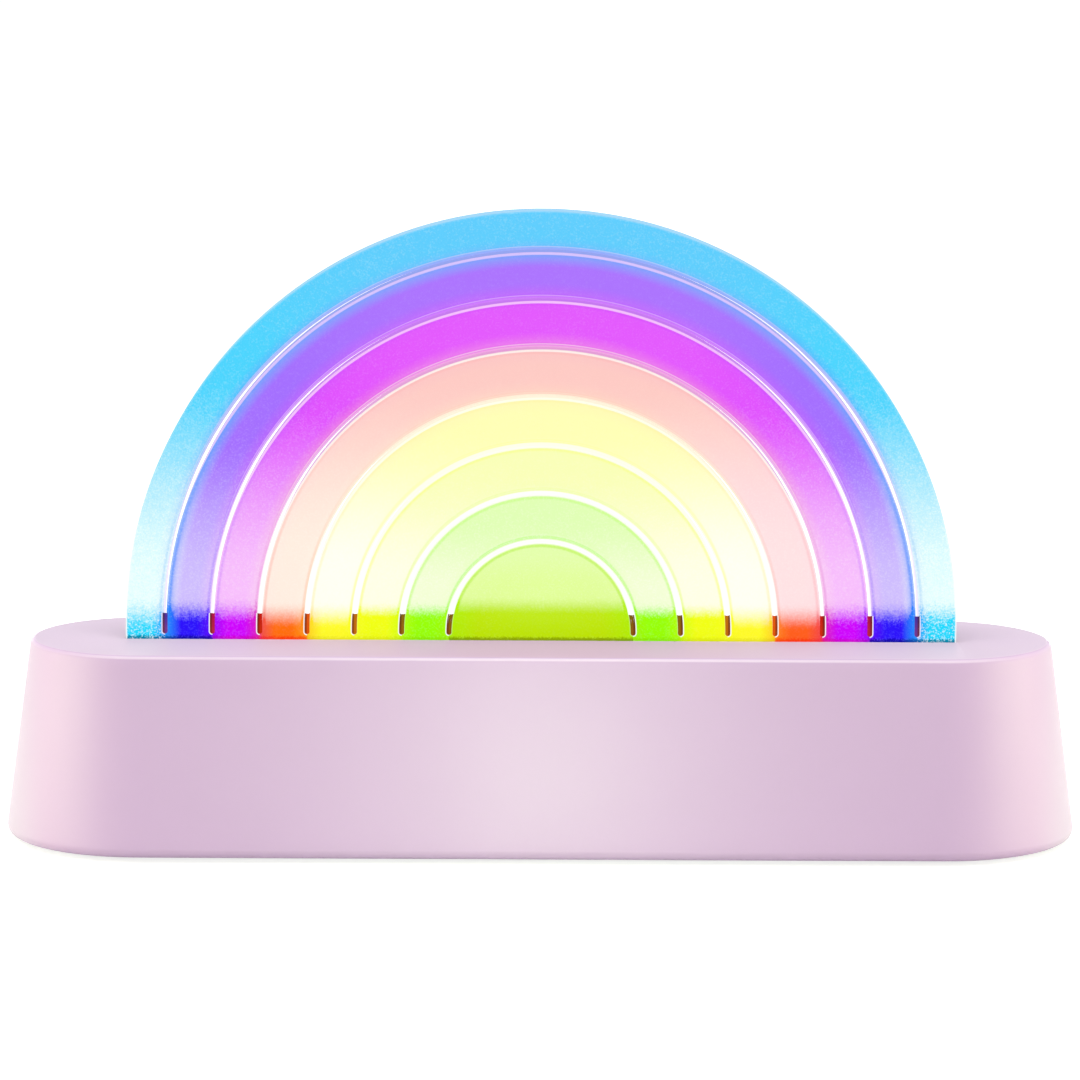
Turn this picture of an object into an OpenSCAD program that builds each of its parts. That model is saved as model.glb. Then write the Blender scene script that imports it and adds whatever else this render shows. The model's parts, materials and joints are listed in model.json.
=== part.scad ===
// Rainbow lamp: an arched clear sheet, lit from its foot, standing in a long rounded base.
// Millimetres. The origin is under the middle of the base, on the plane the feet rest on.
// +X runs to the right along the base, +Y to the rear, +Z up. The front faces -Y.

/* [Base] */
// Depth of the base at its underside
base_depth = 68.6; // [62:0.2:80]
// Height of the base shell, from its lower rim to its top face
base_height = 48; // [44:1:60]
// How far each side leans in between the rim and the top face
side_lean = 6.5; // [3:0.5:7]
// Bare top face between the end of the arch and the end of the base
end_land = 23.2; // [21:0.1:32]
// Radius of the rounded top edge
top_edge_r = 1.4; // [0.6:0.1:2.4]
// Radius of the rounded lower edge
rim_edge_r = 2.2; // [0.8:0.1:2.4]
// Wall thickness of the sides
wall = 2.8; // [2.4:0.1:3.2]
// Thickness of the top face
top_wall = 2.8; // [2:0.1:3.2]
// Radius of the posts that take the cover screws
post_r = 3.4; // [2.6:0.1:4]
// Thickness of the ribs that tie those posts to the walls
rib_w = 1.4; // [1:0.1:2.4]

/* [Bottom cover] */
// Thickness of the bottom cover
cover_thickness = 2.4; // [2:0.1:3.2]
// Gap between the cover and the wall around it
cover_gap = 0.3; // [0.2:0.05:0.6]
// Distance of the four inner cover screws from the middle of the length
screw_reach = 62; // [58:1:72]
// Radius of the rubber feet
foot_r = 6; // [4:0.5:8]
// Depth of the recess that each foot is set in
foot_recess = 0.8; // [0.4:0.1:1.2]
// Height that the feet lift the base rim off the table
foot_proud = 1.2; // [0.8:0.1:2.5]
// Distance of the feet from the middle of the length
foot_reach = 90; // [76:1:94]
// Distance of the feet from the middle of the depth
foot_side = 16; // [12:1:18]

/* [Rainbow sheet] */
// Thickness of the clear sheet
sheet_thickness = 8; // [7:0.5:9]
// Number of arched slots
slot_count = 7; // [5:1:8]
// Width of each slot
slot_width = 1.6; // [1:0.1:2.2]
// Distance of the innermost slot from the middle, at its foot
first_slot_x = 22.3; // [20:0.1:25]
// Spacing of the slots at their feet
foot_pitch = 11.46; // [11:0.02:12.5]
// Height of the innermost slot's crown over the top face
first_slot_crown = 24.3; // [23:0.1:27]
// Spacing of the slots at their crowns
crown_pitch = 11.73; // [11.6:0.01:13]
// Width of the outermost band, outside the last slot
outer_band = 8.7; // [7:0.1:11]
// Height of the rounded slot ends over the top face
slot_end = 1.7; // [1:0.1:3]
// Height of the dark light stops over the top face
stop_height = 6.4; // [4:0.1:8]
// Gap between a light stop and its slot
stop_gap = 0.05; // [0.03:0.01:0.1]
// Length of sheet that stands inside the base, below the top face
sheet_root = 15; // [14:0.5:16]
// Width of the shoulder that keeps the sheet from pulling out at each end
shoulder = 6; // [3:0.5:7]
// Gap between the sheet and what surrounds it
sheet_gap = 0.2; // [0.1:0.05:0.4]

/* [Sheet holder] */
// Wall of the holder around the foot of the sheet
holder_wall = 2; // [1.4:0.1:2.4]
// Height of the light cells under the sheet
cell_height = 6; // [5:0.5:6.5]
// Depth of the light cells, front to rear
cell_depth = 5.6; // [5.4:0.1:6]
// Thickness of the holder's fixing ears
ear_thickness = 2.5; // [2:0.1:3]
// Distance of the outer ears from the middle of the length
ear_reach = 80; // [74:1:86]
// Distance of the ear screws from the middle of the depth
ear_side = 14; // [13:0.5:15]
// Height of the ears over the lower end of the sheet
ear_rise = 1.8; // [1:0.1:3]
// Gap between the holder and the top face above it
holder_gap = 0.3; // [0.2:0.05:0.6]

/* [Light board] */
// Thickness of both circuit boards
board_thickness = 1.6; // [1:0.1:2]
// Depth of the light board
led_board_depth = 18; // [18:0.5:20]
// Length of one square light package
led_size = 5; // [3.5:0.1:5]
// Height of one light package
led_height = 1.6; // [1.2:0.1:2]
// Distance between the three lights under the middle of the arch
middle_led_pitch = 13; // [8:0.5:15]

/* [Main board] */
// Length of the main board
board_length = 88; // [86:1:96]
// Depth of the main board
board_depth = 24.6; // [24:0.1:26]
// Height of the main board over the bottom cover
board_lift = 4; // [3.5:0.1:6]
// Gap between the rear edge of the main board and the rear wall
board_rear_gap = 3; // [2.9:0.1:3.6]
// Distance of the board screws from its ends
board_screw_inset = 4; // [3.4:0.1:4.4]

/* [Buttons] */
// Radius of the push buttons
button_r = 3.5; // [2.5:0.1:3.8]
// Distance between the buttons
button_pitch = 12; // [10.5:0.5:12]
// How far the buttons stand out of the wall
button_proud = 0.8; // [0.6:0.05:0.8]
// How far a button travels when pressed
button_travel = 0.5; // [0.3:0.05:0.6]
// Gap around each moving button
button_gap = 0.3; // [0.2:0.05:0.4]

/* [Charging port] */
// Place of the charging port along the base
port_x = -32; // [-33:0.5:-31]
// Width of the opening for the plug's moulded end
port_opening_w = 13; // [12.6:0.1:14]
// Height of the opening for the plug's moulded end
port_opening_h = 7; // [6.6:0.1:7.2]
// Width of the socket
socket_w = 8.94; // [8.9:0.01:9]
// Height of the socket
socket_h = 3.26; // [3.2:0.01:3.3]
// Length of the socket
socket_l = 7.35; // [6.8:0.05:7.9]
// Sheet metal thickness of the socket
socket_wall = 0.3; // [0.2:0.05:0.4]

/* [Battery] */
// Diameter of the rechargeable cell
cell_d = 18.4; // [18:0.1:18.6]
// Length of the rechargeable cell
cell_l = 65.2; // [64:0.1:66]
// Wall of the cell's tray
tray_wall = 1.25; // [1:0.05:1.5]
// Gap between the cell and its tray
cell_gap = 0.35; // [0.2:0.05:0.5]
// Height of the tray walls over the bottom cover
tray_height = 14; // [10:0.5:16]
// Gap between the tray and the main board, where a lead runs
lead_gap = 5.4; // [4.5:0.1:5.8]

/* [Fasteners] */
// Thread radius of the cover screws
cover_screw_r = 1.3; // [1:0.05:1.5]
// Length of the cover screws under the head
cover_screw_l = 10; // [8:1:14]
// Thread radius of the holder and main board screws
screw_r = 1.1; // [0.9:0.05:1.2]
// Length of the holder screws under the head
holder_screw_l = 8; // [6:0.5:9]
// Length of the main board and tray screws under the head
board_screw_l = 5; // [4:0.5:5.5]
// Thread radius of the light board screws
small_screw_r = 0.95; // [0.8:0.05:1]
// Length of the light board screws under the head
small_screw_l = 5; // [4:0.5:5.5]
// Gap around a screw's thread in its post
thread_gap = 0.05; // [0.03:0.01:0.08]
// Gap around a screw in a clearance hole
hole_gap = 0.25; // [0.15:0.05:0.4]

/* [Hidden] */
$fn = 64;

cut = 0.5;                  // how far a cutting shape runs past a face
shell_bottom = foot_proud;
shell_top = shell_bottom + base_height;
lean = atan(side_lean / base_height);
ceiling = shell_top - top_wall;
slot_xs = [for (i = [0 : slot_count - 1]) first_slot_x + i * foot_pitch];
slot_crowns = [for (i = [0 : slot_count - 1]) first_slot_crown + i * crown_pitch];
arch_half = slot_xs[slot_count - 1] + slot_width / 2 + outer_band;
arch_crown = slot_crowns[slot_count - 1] + slot_width / 2 + outer_band;
half_length = arch_half + end_land + side_lean;
straight_half = half_length - base_depth / 2;

cover_top = shell_bottom + cover_thickness;
screw_head_h = 1.6;
post_x = arch_half + shoulder + sheet_gap + holder_wall + 1 + post_r;
// posts stand as close to the wall as the narrow end of the cavity lets them
post_side = inner_half(ceiling) - post_r;
post_spots = [
    for (side = [-1, 1]) [side * post_x, 0],
    for (x = [-1, 1], y = [-1, 1]) [x * screw_reach, y * post_side]
];
counterbore = cover_thickness / 2 + 0.1;
cover_head_r = cover_screw_r + 1.1;
foot_spots = [for (x = [-1, 1], y = [-1, 1]) [x * foot_reach, y * foot_side]];

// a base made taller or lower than drawn gives the sheet's root a quarter of the difference
drawn_base_height = 48;
fitted_root = sheet_root + (base_height - drawn_base_height) / 4;
sheet_bottom = shell_top - fitted_root;
sheet_half = sheet_thickness / 2;
pocket_half = arch_half + shoulder + sheet_gap;
pocket_side = sheet_half + sheet_gap;
holder_half = pocket_half + holder_wall;
holder_side = pocket_side + holder_wall;
holder_bottom = sheet_bottom - cell_height;
ear_bottom = sheet_bottom + ear_rise;
ear_top = ear_bottom + ear_thickness;
ear_r = 3.2;
ear_spots = [for (x = [-1, 0, 1], y = [-1, 1]) [x * ear_reach, y * ear_side]];

led_board_bottom = holder_bottom - board_thickness;
led_board_half = arch_half + 3;
lens_r = led_size * 0.42;
lens_depth = 0.5;
band_xs = [
    for (i = [0 : slot_count - 1])
        i < slot_count - 1 ? slot_xs[i] + foot_pitch / 2 : slot_xs[i] + slot_width / 2 + outer_band / 2
];
led_xs = concat([-middle_led_pitch, 0, middle_led_pitch], band_xs, -band_xs);
// screws of the light board, in line with slots so that they clear the lights and their capacitors
led_screw_side = holder_side + 0.8;
led_screw_spots = [
    [-slot_xs[4], led_screw_side], [slot_xs[4], led_screw_side],
    [-slot_xs[1], -led_screw_side], [slot_xs[1], -led_screw_side]
];
led_screw_boss_r = 2.1;
small_head_h = 1.2;

board_bottom = cover_top + board_lift;
board_top = board_bottom + board_thickness;
board_rear = inner_half(board_top + socket_h / 2) - board_rear_gap;
// a base made deeper or less deep than drawn shares the difference between the board and the tray's room
drawn_base_depth = 68.6;
fitted_board_depth = board_depth + (base_depth - drawn_base_depth) / 2;
board_front = board_rear - fitted_board_depth;
// the board reaches this far beyond the middle of the charging port, and its other end follows its length
port_margin = 12;
board_left = port_x - port_margin;
board_right = board_left + board_length;
standoff_r = 2.6;
board_spots = [
    for (x = [board_left + board_screw_inset, board_right - board_screw_inset],
         y = [board_front + board_screw_inset, board_rear - board_screw_inset - 0.6]) [x, y]
];

port_z = board_top + socket_h / 2;
socket_mouth = inner_half(port_z + port_opening_h / 2) - 0.1;

switch_w = 6;
switch_d = 3.6;
switch_h = 3.7;
switch_front = board_rear - 0.8;
button_z = board_top + switch_h / 2;
button_xs = [-button_pitch, 0, button_pitch];
flange_r = button_r + 1.2;
flange_t = 1;
flange_front = inner_half(button_z + flange_r) - 0.15;
flange_back = flange_front - flange_t;
plunger_r = 0.95;
plunger_tip = flange_back - 0.2;
plunger_root = switch_front - 1.1;

mic_r = 3;
mic_l = 2.7;
mic_x = board_right - 16;
mic_z = board_top + mic_r + 0.1;
mic_front = board_rear;
sound_hole_r = 0.75;

pipe_x = port_x + 10.5;
pipe_r = 1.2;
pipe_flange_r = 1.9;
pipe_z = board_top + 1.1;
pipe_front = inner_half(pipe_z + pipe_flange_r) - 0.1;

tray_half = cell_l / 2 + 5.2;
tray_side = cell_d / 2 + cell_gap + tray_wall;
tray_y = board_front - lead_gap - tray_side;
tray_floor = 1.2;
cell_z = cover_top + tray_floor + cell_gap + cell_d / 2;
contact_t = 0.4;
contact_w = 5;
tray_end = 1.6;
contact_x = tray_half - tray_end;
tail_z = cover_top + 4.6;
tray_ear_bottom = cover_top + 3;
tray_ear_t = 1.8;
tray_ear_r = 2.8;
tray_spots = [[tray_half + 3.2, tray_y - 6], [-tray_half - 3.2, tray_y + 6]];

wire_r = 0.65;
connector_h = 6;
plug_top = board_top + 8;
connector_d = 4.5;
pin_pitch = 2;
led_connector_spot = [board_right - 14, board_front + 6];
lead_reach = 24;
battery_connector_spot = [port_x + 18, board_front + 4];

// half depth of the outside and of the inside of the base at a height
function outer_half(z) = base_depth / 2 - side_lean * (z - shell_bottom) / base_height;
function inner_half(z) = outer_half(z) - wall / cos(lean);

// a point on a smooth curve through four neighbouring points
function curve_point(a, b, c, d, t) =
    0.5 * (2 * b + (c - a) * t + (2 * a - 5 * b + 4 * c - d) * t * t
        + (3 * b - a - 3 * c + d) * t * t * t);

// points along a smooth curve through all the given points
function curve(points, steps) = let (last = len(points) - 1) [
    for (i = [0 : last - 1], k = [0 : steps - 1])
        curve_point(
            i == 0 ? 2 * points[0] - points[1] : points[i - 1], points[i], points[i + 1],
            i == last - 1 ? 2 * points[last] - points[last - 1] : points[i + 2], k / steps),
    points[last]
];

function unit(v) = v / norm(v);

// direction of a smooth curve at each of its points, exact at both ends
function headings(points, path) = let (end = len(points) - 1, last = len(path) - 1) [
    unit(points[1] - points[0]),
    for (i = [1 : last - 1]) unit(path[i + 1] - path[i - 1]),
    unit(points[end] - points[end - 1])
];

// a vector turned the least amount that makes it square to a direction
function square_to(v, direction) = unit(v - (v * direction) * direction);

// for each direction of a path, a side vector that follows the path without twisting
function sides_along(ways, i = 0, last_side = [0.3, 0.2, 1]) = i == len(ways) ? [] :
    let (side = square_to(last_side, ways[i])) concat([side], sides_along(ways, i + 1, side));

// A round wire on a smooth curve through the given points, with flat ends that are square to it
module wire(points, r = wire_r, steps = 3, sides = 8) {
    path = curve(points, steps);
    ways = headings(points, path);
    side = sides_along(ways);
    count = len(path);
    rings = [
        for (i = [0 : count - 1]) let (across = cross(ways[i], side[i]))
            for (k = [0 : sides - 1])
                path[i] + r * (cos(360 * k / sides) * side[i] + sin(360 * k / sides) * across)
    ];
    walls = [
        for (i = [0 : count - 2], k = [0 : sides - 1])
            let (next = (k + 1) % sides, here = i * sides, there = (i + 1) * sides)
                each [[here + k, there + k, there + next], [here + k, there + next, here + next]]
    ];
    first_cap = [for (k = [1 : sides - 2]) [0, k, k + 1]];
    end = (count - 1) * sides;
    last_cap = [for (k = [1 : sides - 2]) [end, end + k + 1, end + k]];
    polyhedron(rings, concat(walls, first_cap, last_cap));
}

// A solid of stadium plan, from a half profile of distance and height
module stadium_body() {
    for (side = [-1, 1])
        translate([side * straight_half, 0, 0])
            rotate([0, 0, -side * 90])
                rotate_extrude(angle = 180)
                    children();
    translate([-straight_half, 0, 0])
        rotate([90, 0, 90])
            linear_extrude(2 * straight_half) {
                children();
                mirror([1, 0]) children();
            }
}

// Half profile of the outside of the base, with both edges rounded by true arcs
module base_profile() {
    top_x = outer_half(shell_top) - top_edge_r * (1 - sin(lean)) / cos(lean);
    rim_x = outer_half(shell_bottom) - rim_edge_r * (1 + sin(lean)) / cos(lean);
    polygon([
        [0, shell_bottom],
        [rim_x, shell_bottom],
        [rim_x + rim_edge_r * cos(lean), shell_bottom + rim_edge_r * (1 + sin(lean))],
        [top_x + top_edge_r * cos(lean), shell_top - top_edge_r * (1 - sin(lean))],
        [top_x, shell_top],
        [0, shell_top]
    ]);
    translate([top_x, shell_top - top_edge_r]) circle(top_edge_r);
    translate([rim_x, shell_bottom + rim_edge_r]) circle(rim_edge_r);
}

// Half profile between two heights, a set distance inside the outer face
module inner_profile(low, high, inset) {
    polygon([
        [0, low],
        [outer_half(low) - inset / cos(lean), low],
        [outer_half(high) - inset / cos(lean), high],
        [0, high]
    ]);
}

// A cylinder that points to the rear, starting at a distance from the middle
module rear_cylinder(r, from, to) {
    translate([0, from, 0]) rotate([-90, 0, 0]) cylinder(r = r, h = to - from);
}

// A block with round ends, drawn upright and pushed to the rear
module rear_stadium(w, h, from, to) {
    translate([0, to, 0]) rotate([90, 0, 0]) linear_extrude(to - from) {
        square([w - h, h], center = true);
        for (side = [-1, 1]) translate([side * (w - h) / 2, 0]) circle(h / 2);
    }
}

// A pan head screw with a cross recess: the head's underside is at zero and the thread points up
module screw(r, length, head_r, head_h) {
    difference() {
        rotate_extrude() polygon([
            [0, -head_h], [head_r * 0.7, -head_h], [head_r, -head_h * 0.6], [head_r, 0],
            [r, 0], [r, length - r], [r * 0.3, length], [0, length]
        ]);
        for (turn = [0, 90]) rotate(turn)
            translate([-head_r * 0.55, -r * 0.25, -head_h - cut])
                cube([head_r * 1.1, r * 0.5, cut + head_h * 0.5]);
    }
}

// Small square-ended parts for the boards: a body between two metal end caps
module chip_part(l, w, h) {
    translate([-l / 2, -w / 2, 0]) cube([l, w, h]);
}

// A chip with legs along both long sides, standing on a board at zero
module legged_chip(l, w, h, legs, pitch) {
    lift = 0.15;
    leg_w = 0.4;
    leg_t = 0.2;
    reach = 1;
    translate([-l / 2, -w / 2, lift]) cube([l, w, h]);
    for (i = [0 : legs - 1], side = [-1, 1])
        translate([(i - (legs - 1) / 2) * pitch - leg_w / 2, 0, 0]) {
            translate([0, side * (w / 2 + reach / 2) - reach / 2 + side * reach * 0.4, 0])
                cube([leg_w, reach, leg_t]);
            translate([0, side * (w / 2 + reach * 0.4) - leg_t / 2, 0]) cube([leg_w, leg_t, h / 2]);
            translate([0, side > 0 ? w / 2 - leg_t : -w / 2 - reach * 0.4 - leg_t / 2, h / 2 - leg_t / 2])
                cube([leg_w, reach * 0.4 + leg_t * 1.5, leg_t]);
        }
}

module base_shell() {
    color("#e3cde0") difference() {
        union() {
            difference() {
                stadium_body() base_profile();
                stadium_body() inner_profile(shell_bottom - cut, ceiling, wall);
            }
            for (spot = post_spots)
                translate([spot[0], spot[1], cover_top]) cylinder(r = post_r, h = ceiling - cover_top + cut);
            // ribs from the posts to the nearest wall
            intersection() {
                stadium_body() inner_profile(cover_top, ceiling + cut, wall / 2);
                for (side = [-1, 1]) {
                    translate([side > 0 ? post_x : -half_length, -rib_w / 2, cover_top])
                        cube([half_length - post_x, rib_w, base_height]);
                    for (x = [-screw_reach, screw_reach])
                        translate([x - rib_w / 2, side > 0 ? post_side : -base_depth / 2, cover_top])
                            cube([rib_w, base_depth / 2 - post_side, base_height]);
                }
            }
            for (spot = ear_spots)
                translate([spot[0], spot[1], ear_top]) cylinder(r = ear_r, h = ceiling - ear_top + cut);
        }
        // slot for the sheet
        translate([-arch_half - sheet_gap, -pocket_side, ceiling - cut])
            cube([2 * (arch_half + sheet_gap), 2 * pocket_side, top_wall + 2 * cut]);
        for (spot = post_spots)
            translate([spot[0], spot[1], cover_top - cut])
                cylinder(r = cover_screw_r + thread_gap, h = cut + cover_screw_l + 2);
        for (spot = ear_spots)
            translate([spot[0], spot[1], ear_top - cut])
                cylinder(r = screw_r + thread_gap, h = cut + ceiling - ear_top - 0.4);
        translate([port_x, 0, port_z])
            rear_stadium(port_opening_w, port_opening_h, inner_half(port_z) - 3, base_depth / 2 + 1);
        for (x = button_xs)
            translate([x, 0, button_z])
                rear_cylinder(button_r + button_gap, inner_half(button_z) - 3, base_depth / 2 + 1);
        translate([pipe_x, 0, pipe_z])
            rear_cylinder(pipe_r + thread_gap, inner_half(pipe_z) - 3, base_depth / 2 + 1);
        translate([mic_x, 0, mic_z])
            rear_cylinder(sound_hole_r, inner_half(mic_z) - 3, base_depth / 2 + 1);
    }
}

module cover_outline() {
    half = inner_half(cover_top) - cover_gap;
    square([2 * straight_half, 2 * half], center = true);
    for (side = [-1, 1]) translate([side * straight_half, 0]) circle(half);
}

module bottom_cover() {
    tray_post_h = tray_ear_bottom - cover_top;
    color("#d9c3d6") difference() {
        union() {
            translate([0, 0, shell_bottom]) linear_extrude(cover_thickness) cover_outline();
            for (spot = board_spots)
                translate([spot[0], spot[1], shell_bottom + cut])
                    cylinder(r = standoff_r, h = board_bottom - shell_bottom - cut);
            for (spot = tray_spots)
                translate([spot[0], spot[1], shell_bottom + cut])
                    cylinder(r = tray_ear_r, h = tray_ear_bottom - shell_bottom - cut);
        }
        for (spot = post_spots) translate([spot[0], spot[1], shell_bottom - cut]) {
            cylinder(r = cover_screw_r + hole_gap, h = cover_thickness + 2 * cut);
            cylinder(r = cover_head_r + hole_gap, h = counterbore + cut);
        }
        for (spot = foot_spots)
            translate([spot[0], spot[1], shell_bottom - cut])
                cylinder(r = foot_r + 0.15, h = foot_recess + cut);
        for (spot = board_spots)
            translate([spot[0], spot[1], board_bottom - board_screw_l])
                cylinder(r = screw_r + thread_gap, h = board_screw_l + cut);
        for (spot = tray_spots)
            translate([spot[0], spot[1], tray_ear_bottom - board_screw_l + 0.5])
                cylinder(r = screw_r + thread_gap, h = board_screw_l + cut);
    }
}

module cover_screws() {
    color("silver") for (spot = post_spots)
        translate([spot[0], spot[1], shell_bottom + counterbore])
            screw(cover_screw_r, cover_screw_l, cover_head_r, counterbore - 0.1);
}

module rubber_feet() {
    top = shell_bottom + foot_recess;
    bevel = 0.5;
    color("#efe6ee") for (spot = foot_spots)
        translate([spot[0], spot[1], 0]) rotate_extrude()
            polygon([[0, 0], [foot_r - bevel, 0], [foot_r, bevel], [foot_r, top], [0, top]]);
}

// Outline of the arch with its straight feet, standing on the line y = low
module arch_outline(half, crown, low) {
    rise = crown - half;
    translate([0, rise]) circle(half);
    translate([-half, low]) square([2 * half, rise - low]);
}

// Outline of an arched slot with round ends
module slot_outline(half, crown, width = slot_width) {
    legs = crown - half;
    low = slot_end + slot_width / 2;
    start = max(low, legs);
    outer = half + width / 2;
    inner = half - width / 2;
    difference() {
        translate([0, legs]) circle(outer);
        translate([0, legs]) circle(inner);
        translate([-outer - 1, start - 2 * outer]) square([2 * outer + 2, 2 * outer]);
    }
    for (side = [-1, 1]) {
        if (legs > low) translate([side * half - width / 2, low]) square([width, legs - low]);
        translate([side * half, low]) circle(width / 2);
    }
}

module sheet_outline() {
    difference() {
        union() {
            intersection() {
                arch_outline(arch_half, arch_crown, 0);
                translate([-arch_half, 0]) square([2 * arch_half, arch_crown + 1]);
            }
            translate([-arch_half, -fitted_root]) square([2 * arch_half, fitted_root]);
            translate([-arch_half - shoulder, -fitted_root])
                square([2 * (arch_half + shoulder), fitted_root - top_wall - sheet_gap]);
        }
        for (i = [0 : slot_count - 1]) slot_outline(slot_xs[i], slot_crowns[i]);
    }
}

module rainbow_panel() {
    color("#bfe6ff", 0.8)
        translate([0, sheet_half, shell_top]) rotate([90, 0, 0]) linear_extrude(sheet_thickness) sheet_outline();
}

// Dark slips in the lower ends of the slots, which keep the colours of neighbouring bands apart
module light_stops() {
    color("#5a2d1c")
        translate([0, sheet_half, shell_top]) rotate([90, 0, 0]) linear_extrude(sheet_thickness)
            intersection() {
                translate([-arch_half, 0]) square([2 * arch_half, stop_height]);
                for (i = [0 : slot_count - 1])
                    slot_outline(slot_xs[i], slot_crowns[i], slot_width - 2 * stop_gap);
            }
}

module panel_holder() {
    color("white") difference() {
        union() {
            translate([-holder_half, -holder_side, holder_bottom])
                cube([2 * holder_half, 2 * holder_side, ceiling - holder_gap - holder_bottom]);
            for (spot = ear_spots) {
                translate([spot[0] - ear_r, min(0, spot[1]), ear_bottom]) cube([2 * ear_r, ear_side, ear_thickness]);
                translate([spot[0], spot[1], ear_bottom]) cylinder(r = ear_r, h = ear_thickness);
            }
            for (spot = led_screw_spots)
                translate([spot[0], spot[1], holder_bottom]) cylinder(r = led_screw_boss_r, h = small_screw_l);
        }
        translate([-pocket_half, -pocket_side, sheet_bottom])
            cube([2 * pocket_half, 2 * pocket_side, fitted_root]);
        // the light cells: one under the middle, and one under each foot of each band
        half = slot_xs[0] - slot_width / 2;
        translate([-half, -cell_depth / 2, holder_bottom - cut])
            cube([2 * half, cell_depth, cell_height + 2 * cut]);
        for (i = [0 : slot_count - 1], side = [-1, 1]) {
            from = slot_xs[i] + slot_width / 2;
            to = i < slot_count - 1 ? slot_xs[i + 1] - slot_width / 2 : arch_half;
            translate([side > 0 ? from : -to, -cell_depth / 2, holder_bottom - cut])
                cube([to - from, cell_depth, cell_height + 2 * cut]);
        }
        for (spot = ear_spots)
            translate([spot[0], spot[1], ear_bottom - cut])
                cylinder(r = screw_r + hole_gap, h = ear_thickness + 2 * cut);
        for (spot = led_screw_spots)
            translate([spot[0], spot[1], holder_bottom - cut])
                cylinder(r = small_screw_r + thread_gap, h = small_screw_l + cut - 0.6);
    }
}

module holder_screws() {
    color("silver") for (spot = ear_spots)
        translate([spot[0], spot[1], ear_bottom]) screw(screw_r, holder_screw_l, screw_r + 1, screw_head_h);
}

module led_board() {
    color("white") difference() {
        translate([-led_board_half, -led_board_depth / 2, led_board_bottom])
            cube([2 * led_board_half, led_board_depth, board_thickness]);
        for (spot = led_screw_spots)
            translate([spot[0], spot[1], led_board_bottom - cut])
                cylinder(r = small_screw_r + hole_gap, h = board_thickness + 2 * cut);
    }
}

module led_packages() {
    color("#f4f2e8") for (x = led_xs) translate([x, 0, holder_bottom]) difference() {
        translate([-led_size / 2, -led_size / 2, 0]) cube([led_size, led_size, led_height]);
        translate([0, 0, led_height - lens_depth]) cylinder(r = lens_r, h = lens_depth + cut);
    }
}

module led_lenses() {
    color("#ffe9a0") for (x = led_xs)
        translate([x, 0, holder_bottom + led_height - lens_depth]) cylinder(r = lens_r - 0.05, h = lens_depth);
}

module led_capacitors() {
    h = 0.8;
    color("#c9a070") for (x = led_xs) translate([x, 0, led_board_bottom - h]) chip_part(2, 1.25, h);
}

module led_board_screws() {
    color("silver") for (spot = led_screw_spots)
        translate([spot[0], spot[1], led_board_bottom])
            screw(small_screw_r, small_screw_l, small_screw_r + 0.85, small_head_h);
}

// Three wires that rise from their plug, sag aside and rise again to the light board
module led_lead() {
    from = led_connector_spot;
    pads = [from[0] + lead_reach, led_board_depth / 2 - 3];
    rise = led_board_bottom - plug_top;
    for (k = [-1, 0, 1]) color(k < 0 ? "red" : k > 0 ? "black" : "green")
        translate([0, k * pin_pitch, 0]) wire([
            [from[0], from[1], plug_top],
            [from[0], from[1], plug_top + 0.213 * rise],
            [from[0] + 0.292 * lead_reach, from[1], plug_top + 0.479 * rise],
            [from[0] + 0.667 * lead_reach, pads[1] + 1, plug_top + 0.266 * rise],
            [pads[0], pads[1], led_board_bottom - 0.319 * rise],
            [pads[0], pads[1], led_board_bottom]
        ]);
}

module main_board() {
    color("#2f7d4f") difference() {
        translate([board_left, board_front, board_bottom])
            cube([board_length, fitted_board_depth, board_thickness]);
        for (spot = board_spots)
            translate([spot[0], spot[1], board_bottom - cut])
                cylinder(r = screw_r + hole_gap, h = board_thickness + 2 * cut);
    }
}

module main_board_screws() {
    color("silver") for (spot = board_spots)
        translate([spot[0], spot[1], board_top]) mirror([0, 0, 1])
            screw(screw_r, board_screw_l, screw_r + 1, screw_head_h);
}

// A place on top of the main board, measured from the middle of the base and from the board's front edge
module on_board(x, y) {
    translate([x, board_front + y, board_top]) children();
}

// A place on top of the main board, measured from the charging port and from the board's front edge
module near_port(x, y) {
    on_board(port_x + x, y) children();
}

module controller_chip() {
    color("#222222") on_board(8, 13) legged_chip(9.9, 3.9, 1.5, 8, 1.27);
}

module charger_chip() {
    color("#222222") near_port(2, 10) legged_chip(4.9, 3.9, 1.5, 4, 1.27);
}

module power_inductor() {
    color("#555555") near_port(11, 10) difference() {
        chip_part(5, 5, 3);
        // wound core seen between the two flanges
        for (side = [-1, 1]) translate([-3, side * 2.6 - 0.5, 0.8]) cube([6, 1, 1.4]);
    }
}

module board_capacitors() {
    color("#c9a070") {
        for (y = [7, 10, 13]) near_port(6.5, y) chip_part(1.25, 2, 0.9);
        for (x = [0, 16]) on_board(x, 13) chip_part(1.25, 2, 0.9);
        translate([led_connector_spot[0] - 5, board_front + 10, board_top]) chip_part(3.2, 1.6, 1.2);
    }
}

module board_resistors() {
    color("#3a3a3a") {
        for (x = [2, 5, 8, 11, 14]) on_board(x, 7.5) chip_part(1.6, 0.8, 0.5);
        for (x = [0, 3, 6]) near_port(x, 5) chip_part(1.6, 0.8, 0.5);
    }
}

// The socket of a plug-in lead: a box open at the top, with its pins
module pin_header(pins) {
    w = pin_pitch * (pins - 1) + 3.9;
    wall_t = 0.6;
    pin = 0.5;
    difference() {
        chip_part(w, connector_d, connector_h);
        translate([-w / 2 + wall_t, -connector_d / 2 + wall_t, 1])
            cube([w - 2 * wall_t, connector_d - 2 * wall_t, connector_h]);
    }
    for (i = [0 : pins - 1])
        translate([(i - (pins - 1) / 2) * pin_pitch - pin / 2, -pin / 2, 0.5]) cube([pin, pin, connector_h - 1.5]);
}

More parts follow.
